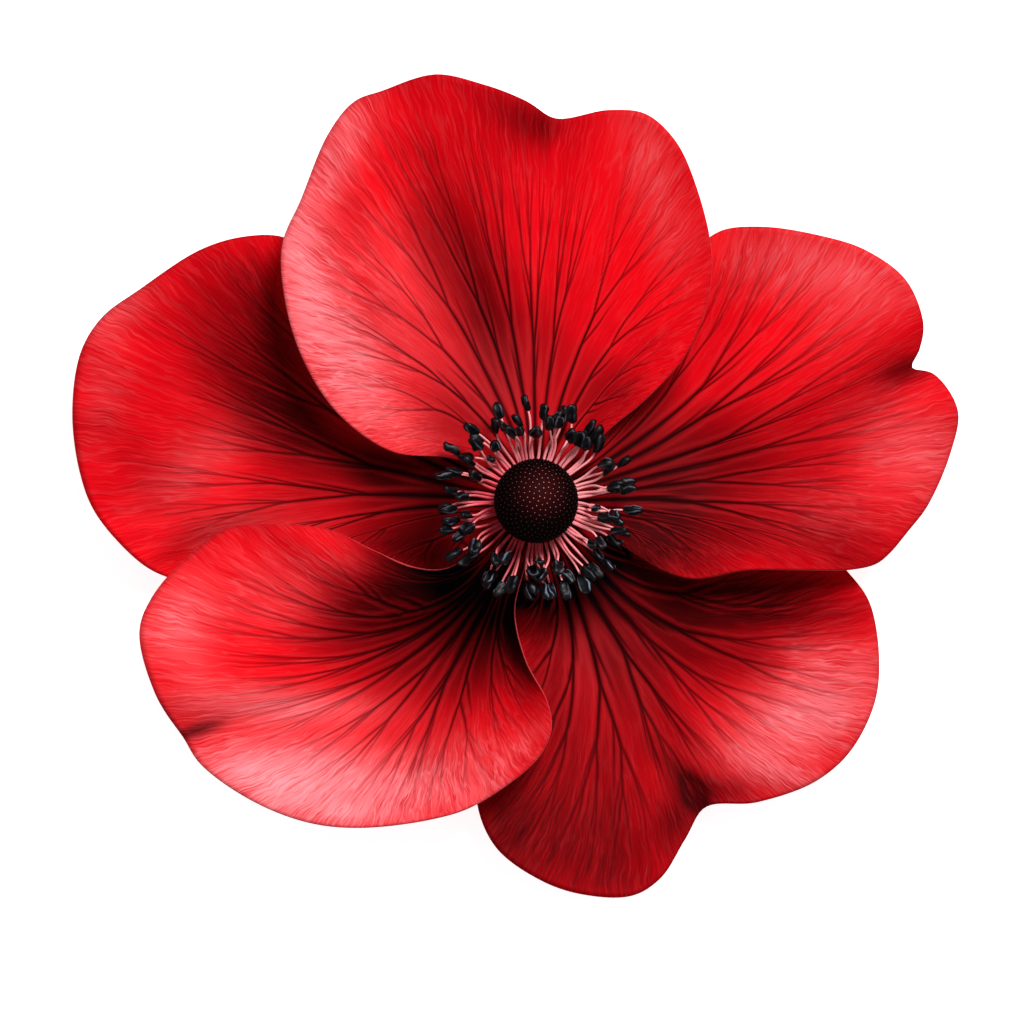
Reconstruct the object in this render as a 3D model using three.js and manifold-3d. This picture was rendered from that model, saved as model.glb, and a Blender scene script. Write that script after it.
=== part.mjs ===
// A poppy anemone bloom (Anemone coronaria), cut just under the flower and lying face up.
//
// Millimetres, +Z up. Five tepals spread from a short receptacle, lie on the surface with the low
// part of their undersides, and cup upwards to wavy margins. In the middle stand a ring of stamens
// and the studded head of carpels. The shape is given round the axis of the flower's heart; at the
// end the bloom is moved so that the origin is the middle of its bounding box, on the surface.
import * as THREE from "three";
import { mergeVertices } from "three/addons/utils/BufferGeometryUtils.js";
import Module from "manifold-3d";

const wasm = await Module();
wasm.setup();

// ---- Driving dimensions, in millimetres and degrees ----

const SEAT_GAP = 0.3; // what pieces that grow on each other keep between their faces

const BLADE = 0.6; // thickness of a tepal
const CLAW_RADIUS = 3.6; // where a tepal's narrow claw meets the receptacle
const REST_RADIUS = 19; // past this radius a tepal no longer hangs from its claw
const CUP_START = 0.36; // share of a vein's length where the tepal starts to cup upwards
const CUP_POWER = 1.7; // how steeply it cups towards the margin
const BLADE_ROWS = 9; // cells from the claw to the margin; across, a cell ends at each margin point

const STALK_RADIUS = 2.0;
const STALK_CUT = 0.3; // the stalk is cut this far above the surface
const RECEPTACLE_RADIUS = CLAW_RADIUS - SEAT_GAP;
const RECEPTACLE_BOTTOM = 1.9;
const RECEPTACLE_TOP = 5.2;

const COLLAR_RADIUS = 3.4; // the disc that carries the stamens
const COLLAR_BOTTOM = RECEPTACLE_TOP + SEAT_GAP;
const COLLAR_TOP = 6.3;

const HEAD_RADIUS = 4.05; // the head of carpels, a cushion that is cut flat underneath
const HEAD_HALF_HEIGHT = 4.0;
const HEAD_FOOT = COLLAR_TOP + SEAT_GAP;
const HEAD_CENTRE = HEAD_FOOT + 2.3;
const HEAD_DETAIL = 11; // how often each edge of the icosahedron is split
const CARPELS = 170; // places on the whole ellipsoid, of which the foot hides some
const CARPEL_RISE = 0.24;
const CARPEL_WIDTH = 0.34;

const STAMENS = 84;
const STAMEN_SIDES = 5;
const FILAMENT_RADIUS = 0.22;
const ANTHER_LENGTH = 1.7;
const ANTHER_HALF_WIDTH = 0.46;
const ANTHER_FLATNESS = 0.8; // depth over width
const GOLDEN_ANGLE = 180 * (3 - Math.sqrt(5));

// Each margin runs clockwise, seen from above, from one side of the claw round the tip to the
// other side. A point is [x, y, rise above the blade's lowest part]; a dip in the rise is a fold.
// The lifts hold the first and the last side of a blade over the neighbours that it covers. Veins
// leave the claw side by side where the spread is 0, and straight at the margin where it is 1. The
// handle says how far they keep that way: a share of their reach, but no more millimetres than this.
const TEPALS = {
  tepal_top: {
    direction: 93,
    clawHalfAngle: 42,
    veinSpread: 0.5,
    veinHandle: [0.5, 14],
    sideLifts: [0.9, 1.0],
    clawHeight: 4.2,
    margin: [
      [-4.7, 3.2, 0.3],
      [-8.9, 4.3, 1.0],
      [-14.1, 5.4, 3.0],
      [-19.5, 9.0, 5.5],
      [-23.2, 14.5, 7.5],
      [-24.9, 20.2, 8.8],
      [-25.4, 25.5, 9.2],
      [-23.8, 30.1, 9.0],
      [-20.8, 36.5, 8.5],
      [-18.3, 39.8, 8.0],
      [-15.5, 40.8, 7.2],
      [-10.0, 42.6, 8.6],
      [-5.2, 41.7, 9.2],
      [-1.4, 40.3, 8.0],
      [2.0, 38.2, 5.6],
      [7.5, 39.1, 8.8],
      [11.0, 38.7, 10.2],
      [13.9, 36.0, 10.6],
      [16.1, 31.5, 9.6],
      [17.7, 24.7, 8.0],
      [17.2, 19.9, 6.6],
      [15.1, 14.6, 4.8],
      [11.0, 10.0, 3.0],
      [7.8, 7.4, 1.8],
      [4.5, 4.3, 0.5],
    ],
  },
  tepal_right: {
    direction: 12,
    clawHalfAngle: 40,
    veinSpread: 0.4,
    veinHandle: [0.5, 16],
    sideLifts: [0.0, 1.0],
    clawHeight: 3.2,
    margin: [
      [3.4, 5.0, 0.0],
      [7.4, 8.8, 0.2],
      [10.2, 13.8, 0.8],
      [13.2, 19.6, 2.2],
      [15.6, 24.4, 4.0],
      [18.3, 27.0, 6.0],
      [22.5, 27.4, 7.6],
      [28.2, 26.6, 9.0],
      [32.7, 25.1, 9.6],
      [36.8, 22.1, 9.8],
      [38.6, 18.0, 8.6],
      [38.4, 15.5, 7.0],
      [37.7, 13.4, 5.8],
      [40.0, 12.5, 7.2],
      [42.1, 8.9, 9.0],
      [41.4, 4.9, 9.0],
      [39.2, -0.5, 8.6],
      [37.3, -3.3, 8.2],
      [35.4, -5.5, 7.8],
      [33.9, -6.4, 7.6],
      [31.3, -6.9, 7.2],
      [26.2, -6.6, 6.2],
      [21.1, -6.5, 5.0],
      [16.0, -7.6, 3.8],
      [13.1, -7.2, 2.8],
      [10.3, -5.6, 1.5],
      [6.8, -3.4, 0.5],
    ],
  },
  tepal_lower_right: {
    direction: -60,
    clawHalfAngle: 36,
    veinSpread: 0.1,
    veinHandle: [0.6, 18],
    sideLifts: [0.0, 0.0],
    clawHeight: 2.2,
    margin: [
      [6.2, -2.5, 0.0],
      [12.0, -3.9, 0.4],
      [19.0, -3.8, 1.6],
      [25.5, -3.8, 2.8],
      [29.5, -5.2, 3.8],
      [31.3, -7.1, 4.6],
      [33.2, -10.1, 6.0],
      [34.3, -15.6, 7.8],
      [33.9, -20.3, 8.6],
      [31.3, -25.1, 8.6],
      [27.8, -28.1, 8.0],
      [22.1, -30.0, 6.4],
      [16.8, -30.5, 3.8],
      [14.7, -34.0, 4.6],
      [12.2, -37.7, 5.6],
      [9.3, -39.5, 5.8],
      [4.5, -39.4, 5.6],
      [0.4, -37.9, 5.2],
      [-3.8, -34.7, 4.4],
      [-5.9, -30.5, 3.2],
      [-5.6, -26.0, 2.0],
      [-4.2, -20.5, 0.8],
      [-3.4, -14.0, 0.2],
      [-2.4, -9.0, 0.0],
      [-2.2, -6.0, 0.0],
    ],
  },
  tepal_lower_left: {
    direction: 242,
    clawHalfAngle: 34,
    veinSpread: 0.0,
    veinHandle: [0.7, 20],
    sideLifts: [1.2, 1.8],
    clawHeight: 4.2,
    margin: [
      [-0.9, -6.6, 0.8],
      [-1.9, -10.9, 2.0],
      [-0.9, -15.7, 3.6],
      [1.2, -19.8, 5.0],
      [1.7, -22.4, 5.8],
      [1.2, -24.3, 6.3],
      [-0.4, -26.5, 6.8],
      [-6.1, -30.5, 7.2],
      [-10.0, -31.8, 7.4],
      [-17.3, -32.7, 8.0],
      [-22.7, -32.2, 8.8],
      [-28.5, -30.2, 9.0],
      [-33.4, -26.5, 7.4],
      [-35.1, -23.6, 5.6],
      [-38.0, -18.9, 8.0],
      [-39.6, -13.0, 9.0],
      [-38.7, -9.6, 8.0],
      [-34.8, -5.5, 6.2],
      [-30.4, -2.6, 4.8],
      [-25.3, -2.3, 3.8],
      [-20.5, -2.9, 2.6],
      [-15.6, -5.1, 1.8],
      [-12.0, -6.5, 1.2],
      [-9.0, -6.6, 0.8],
      [-6.2, -5.2, 0.3],
    ],
  },
  tepal_left: {
    direction: 170,
    clawHalfAngle: 40,
    veinSpread: 0.3,
    veinHandle: [0.5, 16],
    sideLifts: [0.0, 0.0],
    clawHeight: 2.2,
    margin: [
      [-4.6, -5.4, 0.0],
      [-8.4, -7.8, 0.0],
      [-13.8, -8.4, 0.0],
      [-20.5, -7.8, 0.2],
      [-28.0, -8.2, 1.2],
      [-33.5, -8.6, 2.6],
      [-37.2, -7.4, 4.0],
      [-40.0, -5.7, 5.6],
      [-43.9, -1.2, 7.0],
      [-45.7, 2.6, 8.0],
      [-46.3, 8.7, 9.0],
      [-45.4, 14.8, 9.5],
      [-43.4, 18.4, 9.2],
      [-39.8, 21.2, 8.4],
      [-33.6, 25.1, 7.6],
      [-29.1, 26.5, 6.2],
      [-25.1, 26.4, 4.5],
      [-21.5, 24.0, 3.2],
      [-18.0, 18.5, 2.0],
      [-13.5, 12.0, 1.0],
      [-8.5, 6.6, 0.4],
      [-4.2, 4.6, 0.0],
    ],
  },
};

// ---- Helpers ----

const radians = THREE.MathUtils.degToRad;
const lerp = THREE.MathUtils.lerp;
const ramp = (x, from, to) => THREE.MathUtils.smoothstep(x, from, to);

// A repeatable draw from 0 to 1 for one stamen and one purpose.
function draw(index, purpose) {
  const wave = Math.sin(index * 12.9898 + purpose * 78.233) * 43758.5453;
  return wave - Math.floor(wave);
}

function polar(radius, degrees, height) {
  const angle = radians(degrees);
  return new THREE.Vector3(radius * Math.cos(angle), radius * Math.sin(angle), height);
}

// A closed three.js geometry as a manifold-3d solid.
function solidFrom(geometry) {
  const bare = geometry.clone();
  bare.deleteAttribute("normal");
  bare.deleteAttribute("uv");
  const merged = mergeVertices(bare, 1e-4);
  const mesh = new wasm.Mesh({
    numProp: 3,
    vertProperties: Float32Array.from(merged.attributes.position.array),
    triVerts: Uint32Array.from(merged.index.array),
  });
  return new wasm.Manifold(mesh);
}

function geometryFrom(solid) {
  const mesh = solid.getMesh();
  const geometry = new THREE.BufferGeometry();
  geometry.setAttribute("position", new THREE.BufferAttribute(mesh.vertProperties, 3));
  geometry.setIndex(new THREE.BufferAttribute(mesh.triVerts, 1));
  return geometry;
}

// ---- Tepals ----

// The underside of a tepal: a function of s, along the margin, and t, from claw to margin.
function tepalUnderside(tepal) {
  const { direction, clawHalfAngle, veinSpread, veinHandle, clawHeight, sideLifts } = tepal;
  const outline = new THREE.CatmullRomCurve3(tepal.margin.map((point) => new THREE.Vector3(...point)));
  const axis = polar(1, direction, 0);
  return (s, t) => {
    const tip = outline.getPoint(s);
    const clawAngle = direction + clawHalfAngle * (1 - 2 * s);
    const claw = polar(CLAW_RADIUS, clawAngle, 0);
    const reach = new THREE.Vector3(tip.x - claw.x, tip.y - claw.y, 0);
    const length = reach.length();
    const leaving = axis.clone().lerp(reach.normalize(), veinSpread).normalize();
    const handle = Math.min(veinHandle[0] * length, veinHandle[1]);
    const bend = claw.clone().addScaledVector(leaving, handle);
    const vein = new THREE.QuadraticBezierCurve3(claw, bend, new THREE.Vector3(tip.x, tip.y, 0));
    const point = vein.getPoint(t);
    const lift = sideLifts[0] * (1 - ramp(s, 0.15, 0.5)) + sideLifts[1] * ramp(s, 0.5, 0.85);
    const away = ramp(Math.hypot(point.x, point.y), CLAW_RADIUS, REST_RADIUS);
    const cup = Math.max(0, (t - CUP_START) / (1 - CUP_START)) ** CUP_POWER;
    point.z = lerp(clawHeight, lift, away) + tip.z * cup;
    return point;
  };
}

// The face's upward normal at s, t, from its slopes either way.
function upwardNormal(face, s, t) {
  const step = 0.004;
  const along = face(Math.min(1, s + step), t).sub(face(Math.max(0, s - step), t));
  const outward = face(s, Math.min(1, t + step)).sub(face(s, Math.max(0, t - step)));
  return along.cross(outward).normalize();
}

// A blade: the underside, the upper side BLADE above it, and the rim that joins them. Both faces
// are split into triangles alike.
function tepalGeometry(tepal) {
  const face = tepalUnderside(tepal);
  const columns = tepal.margin.length - 1;
  const under = [];
  const over = [];
  for (let row = 0; row <= BLADE_ROWS; row++) {
    for (let column = 0; column <= columns; column++) {
      const s = column / columns;
      const t = row / BLADE_ROWS;
      const low = face(s, t);
      under.push(low);
      over.push(low.clone().addScaledVector(upwardNormal(face, s, t), BLADE));
    }
  }
  const at = (row, column) => row * (columns + 1) + column;
  const raised = under.length;
  const index = [];
  for (let row = 0; row < BLADE_ROWS; row++) {
    for (let column = 0; column < columns; column++) {
      const a = at(row, column);
      const b = at(row, column + 1);
      const c = at(row + 1, column + 1);
      const d = at(row + 1, column);
      index.push(a, c, b, a, d, c);
      index.push(raised + a, raised + b, raised + c, raised + a, raised + c, raised + d);
    }
  }
  const rim = [];
  for (let column = 0; column < columns; column++) rim.push(at(0, column));
  for (let row = 0; row < BLADE_ROWS; row++) rim.push(at(row, columns));
  for (let column = columns; column > 0; column--) rim.push(at(BLADE_ROWS, column));
  for (let row = BLADE_ROWS; row > 0; row--) rim.push(at(row, 0));
  rim.forEach((a, k) => {
    const b = rim[(k + 1) % rim.length];
    index.push(a, b, raised + b, a, raised + b, raised + a);
  });
  const geometry = new THREE.BufferGeometry().setFromPoints([...under, ...over]);
  geometry.setIndex(index);
  return geometry;
}

// ---- Receptacle, with the stub of the cut stalk under it ----

function receptacleGeometry() {
  const profile = [
    [0, STALK_CUT],
    [STALK_RADIUS, STALK_CUT],
    [STALK_RADIUS, 1.0],
    [2.4, 1.35],
    [3.0, 1.7],
    [RECEPTACLE_RADIUS, RECEPTACLE_BOTTOM],
    [RECEPTACLE_RADIUS, RECEPTACLE_TOP],
    [0, RECEPTACLE_TOP],
  ].map(([radius, height]) => new THREE.Vector2(radius, height));
  return new THREE.LatheGeometry(profile, 32).rotateX(Math.PI / 2);
}

// ---- Stamens: filaments on one collar, each with its anther ----

// Half widths along a straight stamen: filament up to two thirds of the spine, then anther.
const STAMEN_PROFILE = [
  [0, 0],
  [FILAMENT_RADIUS, 0],
  [FILAMENT_RADIUS, 0.36],
  [0.8 * FILAMENT_RADIUS, 0.65],
  [0.9 * ANTHER_HALF_WIDTH, 0.74],
  [ANTHER_HALF_WIDTH, 0.88],
  [0, 1],
];

// Inner stamens stand up beside the carpels, and outer ones reach further out and lie lower.
function stamenSpine(index) {
  const outness = Math.sqrt((index + 0.5) / STAMENS);
  const heading = index * GOLDEN_ANGLE + 6 * (draw(index, 1) - 0.5);
  const drift = 10 * (draw(index, 2) - 0.5);
  const reach = lerp(5.7, 8.5, outness) + 1.4 * (draw(index, 3) - 0.5);
  const top = lerp(9.0, 7.0, outness) + 1.6 * (draw(index, 4) - 0.5);
  const root = polar(2.9, heading, lerp(5.95, 5.8, outness));
  const elbow = polar(lerp(5.1, 5.8, outness), heading + 0.3 * drift, lerp(6.6, 6.2, outness));
  const tip = polar(reach, heading + drift, top);
  const lean = new THREE.Vector3(draw(index, 6) - 0.5, draw(index, 7) - 0.5, draw(index, 8) - 0.5);
  const pointing = tip.clone().sub(elbow).normalize().addScaledVector(lean, 0.9).normalize();
  const end = tip.clone().addScaledVector(pointing, ANTHER_LENGTH * lerp(0.85, 1.15, draw(index, 5)));
  return new THREE.CatmullRomCurve3([root, elbow, tip, end]);
}

// A stamen, turned straight from its profile and then bent along its spine.
function stamenGeometry(index) {
  const spine = stamenSpine(index);
  const profile = STAMEN_PROFILE.map(([halfWidth, share]) => new THREE.Vector2(halfWidth, share));
  const geometry = new THREE.LatheGeometry(profile, STAMEN_SIDES);
  const position = geometry.attributes.position;
  for (let k = 0; k < position.count; k++) {
    const share = position.getY(k);
    const ahead = spine.getTangent(share);
    const sideways = ahead.clone().cross(new THREE.Vector3(0, 0, 1)).normalize();
    const above = sideways.clone().cross(ahead);
    const point = spine.getPoint(share);
    point.addScaledVector(sideways, position.getX(k));
    point.addScaledVector(above, position.getZ(k) * (share > 0.7 ? ANTHER_FLATNESS : 1));
    position.setXYZ(k, point.x, point.y, point.z);
  }
  return geometry;
}

function stamensGeometry() {
  const profile = [
    [0, COLLAR_BOTTOM],
    [COLLAR_RADIUS - 0.3, COLLAR_BOTTOM],
    [COLLAR_RADIUS, 5.8],
    [COLLAR_RADIUS - 0.3, 6.15],
    [COLLAR_RADIUS - 0.8, COLLAR_TOP],
    [0, COLLAR_TOP],
  ].map(([radius, height]) => new THREE.Vector2(radius, height));
  const collar = new THREE.LatheGeometry(profile, 28).rotateX(Math.PI / 2);
  const solids = [solidFrom(collar)];
  for (let index = 0; index < STAMENS; index++) solids.push(solidFrom(stamenGeometry(index)));
  return geometryFrom(wasm.Manifold.union(solids));
}

// ---- Head of carpels: a cushion whose surface rises to a stud at each carpel ----

function carpelHeadGeometry() {
  const studs = [];
  for (let k = 0; k < CARPELS; k++) {
    const height = 1 - (2 * (k + 0.5)) / CARPELS;
    studs.push(polar(Math.sqrt(1 - height * height), k * GOLDEN_ANGLE, height));
  }
  const geometry = new THREE.IcosahedronGeometry(1, HEAD_DETAIL);
  const position = geometry.attributes.position;
  const point = new THREE.Vector3();
  for (let k = 0; k < position.count; k++) {
    point.fromBufferAttribute(position, k);
    const nearest = Math.min(...studs.map((stud) => stud.distanceTo(point))) * HEAD_RADIUS;
    const rise = CARPEL_RISE * Math.exp(-((nearest / CARPEL_WIDTH) ** 2));
    point.multiplyScalar(1 + rise / HEAD_RADIUS);
    point.set(point.x * HEAD_RADIUS, point.y * HEAD_RADIUS, HEAD_CENTRE + point.z * HEAD_HALF_HEIGHT);
    point.z = Math.max(point.z, HEAD_FOOT);
    position.setXYZ(k, point.x, point.y, point.z);
  }
  return geometry;
}

// ---- Finishes ----

function finish(colour, roughness) {
  return new THREE.MeshStandardMaterial({ color: colour, roughness, metalness: 0 });
}

const RED_TEPAL = finish(0xc8101c, 0.55);
const GREEN_STALK = finish(0x6f8a45, 0.6);
const ROSE_FILAMENT = finish(0xd9626c, 0.5);
const BLACK_CARPEL = finish(0x1e0a0c, 0.65);

// ---- The bloom ----

function piece(name, geometry, material) {
  const mesh = new THREE.Mesh(geometry, material);
  mesh.name = name;
  return mesh;
}

const heart = new THREE.Group();
heart.add(piece("receptacle", receptacleGeometry(), GREEN_STALK));
for (const [name, tepal] of Object.entries(TEPALS)) {
  heart.add(piece(name, tepalGeometry(tepal), RED_TEPAL));
}
heart.add(piece("stamens", stamensGeometry(), ROSE_FILAMENT));
heart.add(piece("carpel_head", carpelHeadGeometry(), BLACK_CARPEL));

// The heart sits where the bloom's bounding box is centred on the origin and stands on it.
const box = new THREE.Box3().setFromObject(heart);
const centre = box.getCenter(new THREE.Vector3());
heart.position.set(-centre.x, -centre.y, -box.min.z);

const bloom = new THREE.Group();
bloom.add(heart);
export default bloom;
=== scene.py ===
"""Looks of an open poppy anemone bloom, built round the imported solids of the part."""

import math
import random

import bpy
import numpy as np
from bpy.props import FloatProperty, FloatVectorProperty, IntProperty, PointerProperty
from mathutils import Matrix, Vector


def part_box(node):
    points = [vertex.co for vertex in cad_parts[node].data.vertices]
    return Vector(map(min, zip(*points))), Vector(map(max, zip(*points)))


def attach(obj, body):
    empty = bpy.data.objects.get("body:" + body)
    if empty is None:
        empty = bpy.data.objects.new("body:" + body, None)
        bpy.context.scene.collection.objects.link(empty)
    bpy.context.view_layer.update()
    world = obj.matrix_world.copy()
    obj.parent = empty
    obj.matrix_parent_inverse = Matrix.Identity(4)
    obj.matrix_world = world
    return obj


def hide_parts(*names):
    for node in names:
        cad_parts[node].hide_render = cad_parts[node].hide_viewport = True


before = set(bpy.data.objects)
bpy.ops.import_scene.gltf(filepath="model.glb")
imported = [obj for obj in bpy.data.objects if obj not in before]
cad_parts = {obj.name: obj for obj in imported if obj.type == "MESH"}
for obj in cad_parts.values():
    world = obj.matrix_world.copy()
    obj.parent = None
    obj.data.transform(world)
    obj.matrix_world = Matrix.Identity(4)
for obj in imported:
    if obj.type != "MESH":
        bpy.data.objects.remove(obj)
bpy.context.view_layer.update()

bl_info = {
    "name": "Poppy anemone bloom",
    "version": (1, 0, 0),
    "blender": (4, 5, 0),
    "location": "View3D > Sidebar > Anemone",
    "description": "Builds the tepals, stamens, carpel head and stalk of one open bloom",
    "category": "Add Mesh",
}

MM = 0.001

# ---- The bloom's shape, in millimetres from its heart, as in the solids ----

CLAW_RADIUS = 3.6
REST_RADIUS = 19
CUP_START = 0.36
CUP_POWER = 1.7
STALK_CUT = 0.3
HEAD_RADIUS = 4.18
HEAD_HALF_HEIGHT = 4.0
HEAD_FOOT = 6.6
HEAD_CENTRE = 8.9
STAMENS = 84
GOLDEN_ANGLE = 180 * (3 - math.sqrt(5))

# (radius, height) round the stalk's axis, from the bottom up.
COLLAR_PROFILE = [
    (2.9, 5.52), (3.2, 5.6), (3.4, 5.8), (3.3, 6.05), (3.1, 6.16), (2.6, 6.27), (1.5, 6.29),
]
STALK_PROFILE = [
    (0.6, 0.42), (1.1, 0.36), (1.6, 0.32), (1.85, 0.3), (1.97, 0.36), (2, 0.5), (2, 1),
    (2.12, 1.15), (2.4, 1.35), (3, 1.7), (3.22, 1.85), (3.3, 2), (3.3, 5.05), (3.2, 5.2),
]
TURNED_SIDES = 96
PITH_RADIUS = 1.7
PITH_TOP = 0.45
DOWN_FOOT = 0.9
DOWN_TOP = 4.6

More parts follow.
